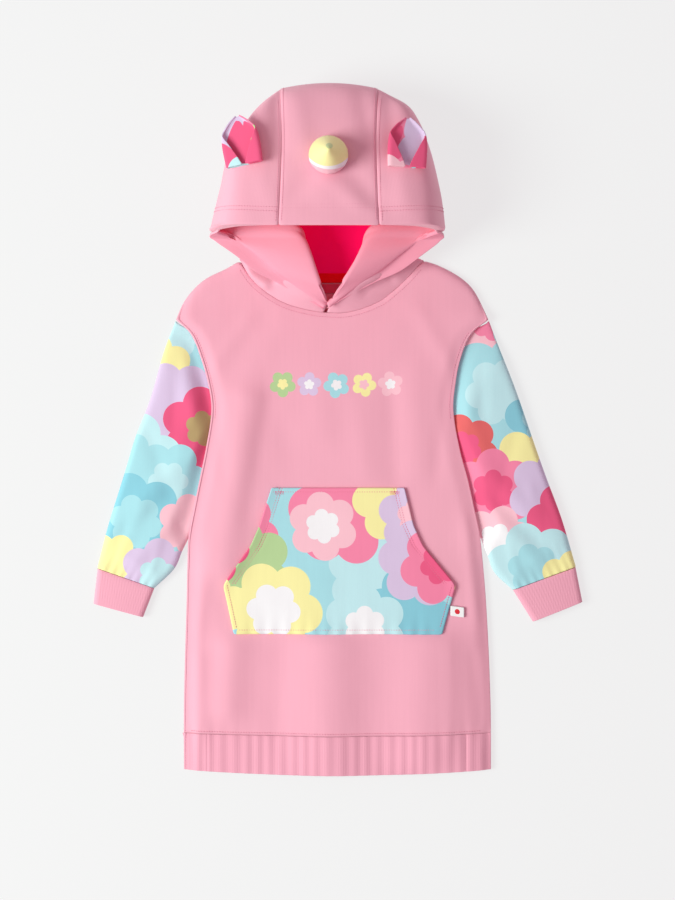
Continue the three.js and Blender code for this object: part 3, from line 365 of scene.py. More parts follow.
def front_height(x, y, relief=0):
    """The upper face of the front, folds and all."""
    side_run, top_run, lift, seam = body_place(x, y, FRONT_NECK)
    edge = roll(side_run, EDGE_RADIUS) * roll(top_run, EDGE_RADIUS)
    clear = ease(side_run, 2, 14)
    neck_run = np.maximum(top_y(x, FRONT_NECK) - y, 0)
    hem_run = hem_seam(x, y)
    fall = np.where(x < 0, LEFT_FALL, RIGHT_FALL) * (1 - ease(side_run, 0, 18))
    top = FRONT_LEVEL + ARMPIT_RISE * lift * np.exp(-side_run / 30)
    top = top + MIDDLE_RISE * (1 - np.exp(-side_run / 34)) - fall
    top = top + fold_height(FRONT_FOLDS, x, y) * clear
    top = top + 0.6 * ripple(x, y * 0.5, 3, 70) * clear + 0.24 * ripple(x, y * 0.7, 4, 28) * clear
    top = top + 0.3 * pucker(x, np.maximum(hem_run, 0), 13, 10, 5) - 1.0 * bump(hem_run, SEAM_REACH)
    top = top + 0.25 * pucker(x * 1.1, neck_run, 11, 8, 6) - 0.7 * bump(neck_run, SEAM_REACH)
    return seam + GAP / 2 + (top - seam) * edge + relief * edge


def front_surface(u, v):
    x, y = plan(u, v, FRONT_NECK)
    return stack(x, y, front_height(x, y))


def back_surface(u, v):
    x, y = plan(u, v, BACK_NECK)
    side_run, top_run, lift, seam = body_place(x, y, BACK_NECK)
    plain = roll(side_run, EDGE_RADIUS)
    over_sleeve = (2.5 * roll(side_run, 2) + 6.1 * ease(side_run, 10, 24)) / SLEEVE_SEAM
    fall = lerp(plain, over_sleeve, lift) * roll(top_run, EDGE_RADIUS)
    return stack(x, y, (seam - GAP / 2) * (1 - fall))


def ribs(x, pitch=RIB_PITCH):
    return 0.5 + 0.5 * np.cos(2 * math.pi * x / pitch)


def hem_front_surface(u, v):
    x, y = plan(u, v, FRONT_NECK)
    side_seams = sum(bump(x - at, 1.2) for at in BAND_SEAMS)
    relief = RIB_DEPTH * ribs(x) * ease(v, 3.0, 3.12) - 0.5 * side_seams
    return stack(x, y, front_height(x, y, relief))


OPENING_ROWS = (8.5, 11.5)  # the two rows of stitches along the pocket's slanted openings
EDGE_ROW = 4.5  # and the one row along its other edges


def pocket_surface(u, v):
    x, y = plan(u, v, FRONT_NECK)
    opening = ease(y, -190, POCKET_CORNER)
    side = np.minimum(x - guide_x(1, y), guide_x(2, y) - x)
    raised = 1.3 * np.exp(-side / 7) * opening
    grooves = 0
    for run in OPENING_ROWS:
        grooves = grooves - 0.35 * bump(side - run, 0.9) * opening
    for run in (y - POCKET_FOOT, POCKET_TOP - y):
        grooves = grooves - 0.35 * bump(run - EDGE_ROW, 0.9)
    soft = 0.5 * ripple(x, y, 11, 48) + 0.5 * pucker(x, y + 222, 15, 10, 12)
    return stack(x, y, front_height(x, y) + GAP + JERSEY + raised + grooves + soft * ease(side, 0, 20))


# ---- sleeves and cuffs


def tube_across(u):
    return np.where(u <= 1, 2 * u - 1, 3 - 2 * u)


def flat_tube(outer, inner, u, height, top_relief, radius_share=0.7):
    """A flattened tube between two edges: u is 0 to 1 over the top and 1 to 2 back below."""
    across = tube_across(u)
    half = np.linalg.norm(outer - inner, axis=-1) / 2
    run = (1 - np.abs(across)) * half
    edge = roll(run, np.maximum(height * radius_share, 1))
    point = lerp(outer, inner, ((across + 1) / 2)[..., None])
    upper = height / 2 + (height / 2 + top_relief) * edge
    lower = height / 2 - height / 2 * edge
    return stack(point[..., 0], point[..., 1], np.where(u <= 1, upper, lower))


def sleeve_surface(side):
    rows = SLEEVES[side]

    def body_edge(y):
        return guide_x(0, y) + TUCK_IN if side == "left" else guide_x(3, y) - TUCK_IN

    def surface(u, v):
        u, v = np.broadcast_arrays(np.mod(u, 2), v)
        outer = np.stack([read(rows, "at", "outer_x", v), read(rows, "at", "outer_y", v)], axis=-1)
        inner = np.stack([read(rows, "at", "inner_x", v), read(rows, "at", "inner_y", v)], axis=-1)
        across = tube_across(u)
        share = (across + 1) / 2
        tuck = np.clip(read(rows, "at", "tuck", v), 0, 1)
        full = np.minimum(ease(v, 0.05, 0.22), lerp(1, ease(1 - across, 0.12, 0.6), tuck))
        height = lerp(ARMHOLE_HEIGHT, SLEEVE_HEIGHT, full)
        x = lerp(outer[..., 0], inner[..., 0], share)
        y = lerp(outer[..., 1], inner[..., 1], share)
        open_part = full * (1 - ease(v, 0.9, 1))
        top = np.maximum(fold_height(SLEEVE_FOLDS, x, y), 0) * open_part
        top = top + fold_height(SLEEVE_CREASES, x, y, 12) * open_part
        top = top + 2.4 * (1 - across**2) * open_part + 0.4 * ripple(x, y, 21, 36) * open_part
        half = np.linalg.norm(outer - inner, axis=-1) / 2
        cuff_run = (1 - v) * SLEEVE_LENGTH
        top = top + 0.9 * pucker(across * half, cuff_run, 9, 14, 22) * (1 - across**4)
        point = flat_tube(outer, inner, u, height, top)
        start_x = lerp(rows["outer_x"][0], rows["inner_x"][0], share)
        start_y = lerp(rows["outer_y"][0], rows["inner_y"][0], share)
        bend = read(rows, "at", "bend", v) * (body_edge(start_y) - start_x)
        point[..., 0] += bend * ease(1 + across, 0, 0.15)
        return point

    return surface


def cuff_surface(side):
    rows = SLEEVES[side]
    first = np.array([rows["outer_x"][-1], rows["outer_y"][-1]])
    first_inner = np.array([rows["inner_x"][-1], rows["inner_y"][-1]])
    last, last_inner = (np.array(p, float) for p in CUFF_ENDS[side])
    width = np.linalg.norm(last - last_inner)
    count = round(width / RIB_PITCH)

    def surface(u, v):
        u, v = np.broadcast_arrays(np.mod(u, 2), v)
        share = lerp(GAP / np.linalg.norm(first - last), 1, v)[..., None]
        outer, inner = lerp(first, last, share), lerp(first_inner, last_inner, share)
        across = tube_across(u)
        relief = CUFF_RIB_DEPTH * ribs(across * count / 2, 1.0)
        relief = relief - 1.0 * bump(v, 0.035) + 1.2 * (1 - across**2)
        return flat_tube(outer, inner, u, np.full_like(v, CUFF_HEIGHT), relief)

    return surface


# ---- hood surfaces


def spine_point(at, across):
    """The centre panel, from the back neck round to the rim; across is -1 to 1."""
    half = read(SPINE, "at", "half", at)
    arch = 2 * across**2 * ease(at, 0.56, 0.8)
    x = HOOD_CENTRE_X + across * (half - SEAM_GAP / 2)
    neckline = read(BACK_NECK, "x", "y", x) + NECK_CLEARANCE
    y = lerp(neckline, read(SPINE, "at", "y", at), np.clip(at / SPINE["at"][1], 0, 1))
    bow = CROWN_BOW * across**2 * ease(at, 0.4, 0.5) * (1 - ease(at, 0.6, 0.8))
    return stack(x, y - bow, np.maximum(read(SPINE, "at", "z", at), 0) - arch)


def catmull_rom(points, t):
    """A centripetal curve through a list of point arrays, at t from 0 to 1."""
    points = [2 * points[0] - points[1], *points, 2 * points[-1] - points[-2]]
    spans = len(points) - 3
    place = np.clip(t, 0, 1) * spans
    k = np.minimum(np.floor(place).astype(int), spans - 1)
    w = (place - k)[..., None]
    grid = np.stack(points)
    rows = np.arange(k.size).reshape(k.shape)
    flat = grid.reshape(len(points), -1, 3)
    p0, p1, p2, p3 = (flat[k + i, rows] for i in range(4))

    def knot(a, b):
        return np.maximum(np.sqrt(np.linalg.norm(b - a, axis=-1, keepdims=True)), 1e-4)

    d0, d1, d2 = knot(p0, p1), knot(p1, p2), knot(p2, p3)
    t1 = ((p1 - p0) / d0 - (p2 - p0) / (d0 + d1) + (p2 - p1) / d1) * d1
    t2 = ((p2 - p1) / d1 - (p3 - p1) / (d1 + d2) + (p3 - p2) / d2) * d1
    return p1 + t1 * w + (3 * (p2 - p1) - 2 * t1 - t2) * w**2 + (2 * (p1 - p2) + t1 + t2) * w**3


def hood_side_surface(side):
    sign = -1 if side == "left" else 1
    corner = FRONT_NECK["x"][0 if side == "left" else -1]

    def on_spine(at, s):
        point = spine_point(at, np.full_like(at, float(sign)))
        point[..., 0] += sign * (SEAM_GAP + 0.5 * (1 - ease(s, 0.3, 1.2)))
        return point

    def place(name, s):
        own = HOOD_SIDES[side]
        out, y, z = (read(HOOD_ROWS, "at", name + part, s) for part in ("_out", "_y", "_z"))
        if name == "edge":
            y = np.where((s > RIM_ROW) & (s < RIM_ROW + 1), np.maximum(y, RIM_Y), y)
        centre = lerp(NECK_CENTRE_X, HOOD_CENTRE_X, ease(y, 135, 200))
        return stack(centre + sign * (out + read(own, "at", name, s)), y, z - read(own, "at", "drop", s))

    def surface(u, v):
        u, v = np.broadcast_arrays(u, v)
        s = np.clip(v, 0, 1) * LAST_ROW
        get = {name: read(HOOD_ROWS, "at", name, s) for name in ("crown", "floor", "base", "base_z")}
        on_rim = (s <= RIM_ROW)[..., None]
        on_floor = (s <= NECK_ROW)[..., None]
        edge = place("edge", s)
        edge = np.where(on_rim, on_spine(np.clip(get["crown"], 0, 1), s), edge)
        cheek = place("cheek", s)
        turn = place("roll", s)
        base_x = lerp(NECK_CENTRE_X, corner, get["base"])
        back = read(BACK_NECK, "x", "y", base_x) + NECK_CLEARANCE
        fore = read(FRONT_NECK, "x", "y", base_x) + NECK_CLEARANCE
        on_body = front_height(base_x, fore - 1.2) - 0.4
        base_z = lerp(get["base_z"], on_body, ease(s, 7.6, 8.4))
        base = stack(base_x, np.where(s < CORNER_ROW, back, fore), base_z)
        base = np.where(on_floor, on_spine(np.clip(get["floor"], 0, 1), s), base)
        brow = lerp(edge, cheek, 0.5)
        brow[..., 0] = lerp(edge[..., 0], cheek[..., 0], BROW_OUT)
        brow[..., 2] = lerp(cheek[..., 2], edge[..., 2], BROW_RISE)
        point = catmull_rom([edge, brow, cheek, turn, base], u)
        point[..., 2] = np.maximum(point[..., 2], 0)
        return point

    return surface


HOOD_FOLDS = table(
    "x0 y0 x1 y1 width height",
    (-64, 352, -62, 296, 8, -2.2), (-84, 330, -76, 250, 12, 1.4), (2, 284, 38, 240, 12, -2.2),
    (-10, 262, 34, 226, 10, 1.2), (-36, 300, -44, 350, 12, 1.4), (26, 356, 34, 306, 10, -1.6),
    (54, 352, 58, 300, 10, -2.2), (66, 262, 70, 230, 10, 1.0), (-30, 262, -54, 234, 11, -1.2),
)
STAND_DENTS = table(
    "x0 y0 x1 y1 width height",
    (-98, 172, -78, 158, 6, 4), (-84, 173, -72, 163, 6, -4),
    (22, 156, 48, 170, 6, 4), (30, 150, 58, 162, 6, -3),
)


def hood_creases(point):
    """Soft dents and swells that the filled hood has, as a height off its surface."""
    x, y, z = point[..., 0], point[..., 1], point[..., 2]
    dome = ease(z, 50, 74) * ease(y, 214, 236)
    rise = 1.0 * ripple(x, y, 31, 80) + 0.45 * ripple(x, y, 32, 34)
    rise = rise + fold_height(HOOD_FOLDS, x, y, 14)
    hem = sum(bump(y - RIM_Y - run, 1.4) for run in RIM_HEM)
    return rise * dome - 0.45 * hem * ease(z, 50, 74)


def hood_centre_surface(u, v):
    u, v = np.broadcast_arrays(u, v)
    point = spine_point(v, u)
    half = 50
    dip = -HOOD_SEAM_DIP * bump((1 - np.abs(u)) * half, HOOD_SEAM_REACH)
    point[..., 2] += (hood_creases(point) + dip) * ease(point[..., 2], 40, 70)
    return point


def lapel_creases(u, v):
    """The soft pulls along the turned-back front edges, and the stand's waves."""
    s = np.clip(v, 0, 1) * LAST_ROW
    on_lapel = ease(u, 0.1, 0.3) * (1 - ease(u, 0.5, 0.7))
    pulls = 0.6 * ripple(u * 90, s * 14, 41, 26) * ease(s, 6.5, 8) * on_lapel
    stand = 1.3 * ripple(u * 60, s * 22, 42, 34) * ease(u, 0.78, 0.88) * ease(s, 7.5, 9)
    return (pulls + stand) * (1 - ease(s, 9.6, 10.8))


def inside_edges(share):
    return np.clip(share, 2e-3, 1 - 2e-3)


def dressed_hood_side(side):
    """A hood side with its seam's dip, its creases and its dents."""
    plain = hood_side_surface(side)
    sign = -1 if side == "left" else 1

    def surface(u, v):
        u, v = np.broadcast_arrays(u, v)
        point = plain(u, v)
        outward = -sign * normal_of(plain, inside_edges(u), inside_edges(v))
        s = v * LAST_ROW
        seam_run = np.abs(point[..., 0] - plain(u * 0, v)[..., 0])
        on_dome = ease(point[..., 2], 46, 70)
        above_rim = 1 - ease(s, RIM_ROW - 0.1, RIM_ROW)
        dip = -HOOD_SEAM_DIP * bump(seam_run, HOOD_SEAM_REACH) * above_rim * on_dome
        creases = lapel_creases(u, v) * ease(u, 0, 0.1) * (1 - ease(u, 0.93, 1))
        rise = hood_creases(point) + dip + creases
        on_stand = ease(u, 0.8, 0.9) * (1 - ease(u, 0.985, 1)) * ease(s, 7.5, 8.5)
        rise = rise + fold_height(STAND_DENTS, point[..., 0], point[..., 1], 6) * on_stand
        return point + outward * rise[..., None]

    return surface


FACING_SHADE_SHARE = 0.12  # the inside facing carries this small share of the crimson painted shade and its glow


def hood_lining_share(points):
    """1 where the hood's inside is painted crimson as shade, in its deep back and low by the neck; the facing
    along the rim and the lapels stay pink but for a small share.
    """
    x, y, z = points[:, 0], points[:, 1], points[:, 2]
    above = ease(y, 233, 235)
    below = ease(z, 14, 8) * (1 - ease(np.abs(x - NECK_CENTRE_X), 70, 80))
    return np.maximum(np.maximum(above, below), FACING_SHADE_SHARE)


# ---- shaders


def linear(red, green, blue):
    def channel(value):
        value /= 255
        return value / 12.92 if value <= 0.04045 else ((value + 0.055) / 1.055) ** 2.4

    return channel(red), channel(green), channel(blue), 1.0


PINK = linear(241, 171, 189)
PINK_DEEP = linear(232, 122, 152)
PINK_RIB = linear(239, 167, 186)
THREAD = linear(236, 158, 180)
# Painted shade: the crimson that stands for the deep shade inside the hood.
SHADE_CRIMSON = linear(250, 3, 106)
RED_TAPE = linear(252, 8, 34)
WHITE = linear(246, 244, 244)
PRINT = {
    "aqua": linear(168, 219, 227),
    "deep_aqua": linear(138, 202, 217),
    "pale_aqua": linear(193, 230, 235),
    "pink": linear(245, 135, 168),
    "light_pink": linear(248, 192, 204),
    "lilac": linear(217, 195, 224),
    "yellow": linear(247, 238, 166),
    "green": linear(181, 209, 151),
    "white": linear(243, 240, 242),
    "hot_pink": linear(236, 92, 134),
    "coral": linear(226, 104, 104),
    "olive": linear(186, 160, 112),
}


def put_in(n, value, socket):
    """Link or set a socket, whichever the value asks for."""
    if isinstance(value, bpy.types.NodeSocket):
        n.tree.links.new(value, socket)
    else:
        socket.default_value = value


class Nodes:
    """Places shader nodes one after another and links them by socket."""

    def __init__(self, tree):
        self.tree = tree
        self.count = 0

    def add(self, kind, inputs=(), **settings):
        node = self.tree.nodes.new(kind)
        node.location = (190 * (self.count // 6), -190 * (self.count % 6))
        self.count += 1
        for name, value in settings.items():
            setattr(node, name, value)
        for socket, value in dict(inputs).items():
            put_in(self, value, node.inputs[socket])
        return node

    def math(self, operation, *values):
        return self.add("ShaderNodeMath", enumerate(values), operation=operation).outputs[0]

    def vector(self, operation, *values):
        return self.add("ShaderNodeVectorMath", enumerate(values), operation=operation).outputs[0]

    def mix(self, factor, below, above):
        node = self.add("ShaderNodeMix", {0: factor, 6: below, 7: above}, data_type="RGBA")
        return node.outputs[2]


def new_group(name, inputs, outputs):
    group = bpy.data.node_groups.new(name, "ShaderNodeTree")
    for label, kind, default in inputs:
        socket = group.interface.new_socket(label, in_out="INPUT", socket_type=kind)
        if default is not None:
            socket.default_value = default
    for label, kind in outputs:
        group.interface.new_socket(label, in_out="OUTPUT", socket_type=kind)
    nodes = Nodes(group)
    return group, nodes, nodes.add("NodeGroupInput"), nodes.add("NodeGroupOutput")


FLOAT, COLOUR, VECTOR = "NodeSocketFloat", "NodeSocketColor", "NodeSocketVector"


def make_knit_group():
    """Fine knitted jersey: wales down the cloth, courses across, fuzz and uneven dye."""
    group, n, given, put = new_group(
        "knit_cloth",
        [("Cloth", VECTOR, None), ("Colour", COLOUR, WHITE), ("Wale", FLOAT, 1.25),
         ("Streak", FLOAT, 0.05), ("Mottle", FLOAT, 0.05)],
        [("Colour", COLOUR), ("Height", FLOAT), ("Roughness", FLOAT)],
    )
    metres = given.outputs["Cloth"]
    in_mm = n.vector("MULTIPLY", metres, (1000, 1000, 1000))
    xyz = n.add("ShaderNodeSeparateXYZ", {0: in_mm})
    wale = n.math("DIVIDE", xyz.outputs[0], given.outputs["Wale"])
    course = n.math("DIVIDE", xyz.outputs[1], n.math("MULTIPLY", given.outputs["Wale"], 0.8))
    across = n.math("SINE", n.math("MULTIPLY", wale, 2 * math.pi))
    zigzag = n.math("MULTIPLY", n.math("ABSOLUTE", across), 0.35)
    along = n.math("SINE", n.math("MULTIPLY", n.math("ADD", course, zigzag), 2 * math.pi))
    loops = n.math("ADD", n.math("MULTIPLY", across, 0.5), n.math("MULTIPLY", along, 0.28))
    streak_at = n.vector("MULTIPLY", in_mm, (0.55, 0.018, 0.018))
    streak = n.add("ShaderNodeTexNoise", {"Vector": streak_at, "Scale": 1.0, "Detail": 3.0}).outputs[0]
    cloudy = n.add("ShaderNodeTexNoise", {"Vector": in_mm, "Scale": 0.012, "Detail": 3.0}).outputs[0]
    fuzz = n.add("ShaderNodeTexNoise", {"Vector": in_mm, "Scale": 1.1, "Detail": 4.0}).outputs[0]
    tone = n.math("MULTIPLY", n.math("SUBTRACT", streak, 0.5), given.outputs["Streak"])
    tone = n.math("ADD", tone, n.math("MULTIPLY", n.math("SUBTRACT", cloudy, 0.5), given.outputs["Mottle"]))
    tone = n.math("ADD", tone, n.math("MULTIPLY", loops, 0.012))
    value = n.math("ADD", 1.0, tone)
    shade = n.add("ShaderNodeHueSaturation", {"Color": given.outputs["Colour"], "Value": value})
    height = n.math("ADD", loops, n.math("MULTIPLY", fuzz, 1.2))
    rough = n.math("ADD", 0.80, n.math("MULTIPLY", fuzz, 0.12))
    for name, socket in (("Colour", shade.outputs[0]), ("Height", height), ("Roughness", rough)):
        n.tree.links.new(socket, put.inputs[name])
    return group


def make_blossom_group():
    """One round-petalled flower of a repeating print, laid over the colour below it."""
    group, n, given, put = new_group(
        "blossom",
        [("Cloth", VECTOR, None), ("Centre", VECTOR, None), ("Half repeat", VECTOR, None),
         ("Size", FLOAT, 0.05), ("Petals", FLOAT, 6.0), ("Turn", FLOAT, 0.0), ("Heart", FLOAT, 0.55),
         ("Below", COLOUR, WHITE), ("Petal colour", COLOUR, WHITE), ("Heart colour", COLOUR, WHITE)],
        [("Colour", COLOUR)],
    )
    apart = n.vector("SUBTRACT", given.outputs["Cloth"], given.outputs["Centre"])
    half = given.outputs["Half repeat"]
    wrapped = n.vector("WRAP", apart, half, n.vector("MULTIPLY", half, (-1, -1, -1)))
    xyz = n.add("ShaderNodeSeparateXYZ", {0: n.vector("DIVIDE", wrapped, given.outputs["Size"])})
    x, y = xyz.outputs[0], xyz.outputs[1]
    far = n.math("SQRT", n.math("ADD", n.math("MULTIPLY", x, x), n.math("MULTIPLY", y, y)))
    angle = n.math("ADD", n.math("ARCTAN2", y, x), given.outputs["Turn"])
    sector = n.math("DIVIDE", math.pi, given.outputs["Petals"])
    folded = n.math("WRAP", angle, sector, n.math("MULTIPLY", sector, -1.0))
    across, along = n.math("SINE", folded), n.math("COSINE", folded)

    def inside(scale):
        reach = n.math("DIVIDE", far, scale)
        px = n.math("SUBTRACT", n.math("MULTIPLY", reach, along), 0.60)
        py = n.math("MULTIPLY", reach, across)
        petal = n.math("SQRT", n.math("ADD", n.math("MULTIPLY", px, px), n.math("MULTIPLY", py, py)))
        in_petal = n.math("LESS_THAN", petal, 0.40)
        return n.math("MAXIMUM", in_petal, n.math("LESS_THAN", reach, 0.62))

    petals, heart = inside(1.0), inside(given.outputs["Heart"])
    colour = n.mix(petals, given.outputs["Below"], given.outputs["Petal colour"])
    colour = n.mix(heart, colour, given.outputs["Heart colour"])
    n.tree.links.new(colour, put.inputs["Colour"])
    return group


REPEAT = (0.560, 0.340)  # the print repeats at this width and length, in metres
# The print: each blossom's place in the repeat and size in millimetres, its turn and colour, and
# its heart's share and colour if it has one. Pieces are cut from it at the places in CUT_AT.
BLOSSOMS = (
    # under the pocket
    (166, 66, 50, 0.4, "pale_aqua"),
    (206, 24, 50, 0.2, "deep_aqua"),
    (158, 8, 46, 0.5, "pale_aqua", 0.50, "white"),
    (134, 134, 60, 0.1, "pink"),
    (112, 118, 38, 0.4, "light_pink", 0.50, "white"),
    (190, 146, 46, 0.0, "yellow"),
    (214, 128, 42, 0.3, "lilac", 0.50, "light_pink"),
    (220, 78, 48, 0.2, "lilac"),
    (240, 76, 44, 0.8, "pink", 0.50, "hot_pink"),
    (20, 112, 44, 0.2, "pink"),
    (26, 74, 52, 0.5, "green"),
    (58, 26, 54, 0.1, "yellow", 0.55, "white"),
    # under the left sleeve
    (364, 304, 54, 0.2, "aqua", 0.50, "pale_aqua"),
    (338, 262, 40, 0.6, "yellow"),
    (306, 214, 46, 0.4, "pale_aqua"),
    (360, 224, 48, 0.1, "lilac"),
    (390, 198, 46, 0.4, "hot_pink", 0.42, "olive"),
    (312, 160, 56, 0.8, "pale_aqua", 0.58, "aqua"),
    (352, 140, 44, 0.0, "aqua", 0.50, "pale_aqua"),
    (316, 96, 54, 0.3, "deep_aqua", 0.55, "aqua"),
    (374, 92, 34, 0.5, "light_pink"),
    (290, 50, 34, 0.0, "yellow"),
    (340, 36, 42, 0.6, "lilac", 0.50, "pale_aqua"),
    # under the right sleeve
    (470, 316, 44, 0.4, "light_pink", 0.50, "pink"),
    (520, 292, 50, 0.4, "pale_aqua", 0.60, "aqua"),
    (478, 238, 62, 0.9, "aqua", 0.60, "pale_aqua"),
    (530, 206, 46, 0.2, "deep_aqua", 0.58, "aqua"),
    (440, 176, 38, 0.3, "coral", 0.50, "hot_pink"),
    (512, 150, 48, 0.0, "yellow"),
    (472, 130, 46, 0.5, "pink", 0.50, "hot_pink"),
    (532, 128, 44, 0.7, "lilac"),
    (550, 96, 42, 0.1, "hot_pink"),
    (476, 74, 40, 0.8, "light_pink", 0.50, "white"),
    (516, 44, 52, 0.2, "pale_aqua", 0.55, "aqua"),
    (556, 30, 34, 0.6, "yellow"),
)
CUT_AT = {
    "pocket": (0.128, 0.080),
    "sleeve_left": (0.345, 0.170),
    "sleeve_right": (0.485, 0.170),
    "ear_left": (0.545, 0.085),
    "ear_right": (0.500, 0.100),
}
CHEST_ROW = (
    (-60, 48.5, 14.5, 0.3, "green", 0.42, "yellow"),
    (-31, 48.0, 13.5, 1.0, "lilac", 0.42, "white"),
    (-1, 47.5, 14.5, 0.5, "aqua", 0.42, "white"),
    (29, 48.0, 13.5, 0.1, "yellow", 0.42, "light_pink"),
    (58, 48.5, 14.0, 0.8, "light_pink", 0.42, "white"),
)


def lay_blossoms(n, cloth, below, rows, petals, repeat):
    for x, y, size, turn, petal_colour, *rest in rows:
        heart, heart_colour = rest or (0.01, petal_colour)
        node = n.add("ShaderNodeGroup", node_tree=blossom_group)
        for name, value in (
            ("Cloth", cloth), ("Centre", (x * MM, y * MM, 0)),
            ("Half repeat", (repeat[0] / 2, repeat[1] / 2, 1)),
            ("Size", size * MM), ("Petals", petals), ("Turn", turn), ("Heart", heart), ("Below", below),
            ("Petal colour", PRINT[petal_colour]), ("Heart colour", PRINT[heart_colour]),
        ):
            put_in(n, value, node.inputs[name])
        below = node.outputs["Colour"]
    return below


def cloth_material(name, colour, wale=1.25, bumps=0.16, streak=0.05, paint=None, sheen=0.25, painted_glow=None):
    """Matte knitted cloth. `paint` may lay a print or painted shade on it, and a glow may paint light: the masked
    faces then shine by themselves.
    """
    material = bpy.data.materials.new(name)
    material.use_nodes = True
    material.diffuse_color = colour
    material.node_tree.nodes.clear()
    n = Nodes(material.node_tree)
    cloth = n.add("ShaderNodeUVMap", uv_map="cloth").outputs[0]
    shown = paint(n, cloth, colour) if paint else colour
    woven = n.add("ShaderNodeGroup", node_tree=knit_group)
    for label, value in (("Wale", wale), ("Streak", streak), ("Cloth", cloth), ("Colour", shown)):
        put_in(n, value, woven.inputs[label])
    relief = n.add(
        "ShaderNodeBump", {"Height": woven.outputs["Height"], "Strength": bumps, "Distance": 0.0003}
    )
    surface = n.add(
        "ShaderNodeBsdfPrincipled",
        {"Base Color": woven.outputs["Colour"], "Roughness": woven.outputs["Roughness"],
         "Normal": relief.outputs[0], "Sheen Weight": sheen, "Sheen Roughness": 0.5,
         "Specular IOR Level": 0.2},
    )
    # Painted light: where the painted-shade mask is set, the cloth glows in its own colour.
    if painted_glow:
        share = n.add("ShaderNodeAttribute", attribute_name="lining").outputs["Fac"]
        put_in(n, n.mix(share, (0, 0, 0, 1), colour), surface.inputs["Emission Color"])
        surface.inputs["Emission Strength"].default_value = painted_glow
    out = n.add("ShaderNodeOutputMaterial")
    n.tree.links.new(surface.outputs[0], out.inputs[0])
    return material


knit_group = make_knit_group()
blossom_group = make_blossom_group()


def paint_print(n, cloth, colour):
    return lay_blossoms(n, cloth, colour, BLOSSOMS, 6, REPEAT)


def paint_chest(n, cloth, colour):
    """The five small blossoms printed in a row across the chest, on the pink."""
    return lay_blossoms(n, cloth, colour, CHEST_ROW, 5, (2, 2))


def outside_circle(n, cloth, centre, radius):
    """1 outside a circle on the cloth."""
    away = n.vector("SUBTRACT", cloth, centre)
    far = n.add("ShaderNodeVectorMath", {0: away}, operation="LENGTH").outputs["Value"]
    return n.math("GREATER_THAN", far, radius)


# Painted shade: the hood's inside turns from pink to crimson where the mask is set.
def paint_lining(n, cloth, colour):
    share = n.add("ShaderNodeAttribute", attribute_name="lining").outputs["Fac"]
    return n.mix(share, PINK, colour)


def paint_tag(n, cloth, colour):
    """A plain red dot in the middle of the white tag."""
    return n.mix(outside_circle(n, cloth, (0.0075, 0.0055, 0), 0.0028), linear(220, 48, 60), colour)


def paint_horn(n, cloth, colour):
    """Yellow with a pale band along its lower side and a green tip."""
    shown = n.mix(outside_circle(n, cloth, (0.0, 0.0085, 0), 0.0235), colour, PRINT["white"])
    shown = n.mix(outside_circle(n, cloth, (0.001, 0.0085, 0), 0.0262), shown, PRINT["light_pink"])
    inside = n.math("SUBTRACT", 1.0, outside_circle(n, cloth, (0.001, 0.004, 0), 0.0036))
    return n.mix(n.math("MULTIPLY", inside, 0.7), shown, PRINT["green"])


jersey = cloth_material("pink_jersey", PINK)
chest_jersey = cloth_material("pink_jersey_printed", PINK, paint=paint_chest)
rib_knit = cloth_material("pink_rib", PINK_RIB, wale=1.9, bumps=0.2, streak=0.03)
flower_print = cloth_material("flower_print", PRINT["aqua"], paint=paint_print, sheen=0.15)
# The hood's inside: crimson painted shade with a painted glow in its deep hollow, and pink elsewhere.
lining = cloth_material("hood_lining", SHADE_CRIMSON, paint=paint_lining, sheen=0.0, painted_glow=0.11)
horn_print = cloth_material("horn_print", PRINT["yellow"], paint=paint_horn)
tape_cloth = cloth_material("red_tape", RED_TAPE, wale=0.8, sheen=0.0)
tag_cloth = cloth_material("white_tag", WHITE, wale=0.5, bumps=0.1, paint=paint_tag)
label_cloth = cloth_material("bare_label", linear(226, 92, 128), wale=0.5, bumps=0.1)
thread = cloth_material("pink_thread", THREAD, wale=0.4, bumps=0.3, sheen=0.1)
deep_thread = cloth_material("deep_pink_thread", PINK_DEEP, wale=0.4, bumps=0.3, sheen=0.1)

# ---- making cloth pieces


def to_frame(points):
    return (points + SHIFT) * MM


def choose(piece):
    bpy.ops.object.select_all(action="DESELECT")
    piece.select_set(True)
    bpy.context.view_layer.objects.active = piece


def in_edit_mode(*edits):
    bpy.ops.object.mode_set(mode="EDIT")
    bpy.ops.mesh.select_all(action="SELECT")
    for edit, settings in edits:
        edit(**settings)
    bpy.ops.object.mode_set(mode="OBJECT")


def apply_modifiers(piece):
    choose(piece)
    for modifier in list(piece.modifiers):
        bpy.ops.object.modifier_apply(modifier=modifier.name)


def corner_vertices(mesh):
    corner = np.zeros(len(mesh.loops), int)
    mesh.loops.foreach_get("vertex_index", corner)
    return corner


def smooth_once(piece):
    smooth = piece.modifiers.new("smooth", "SUBSURF")
    smooth.levels = smooth.render_levels = 1
    apply_modifiers(piece)


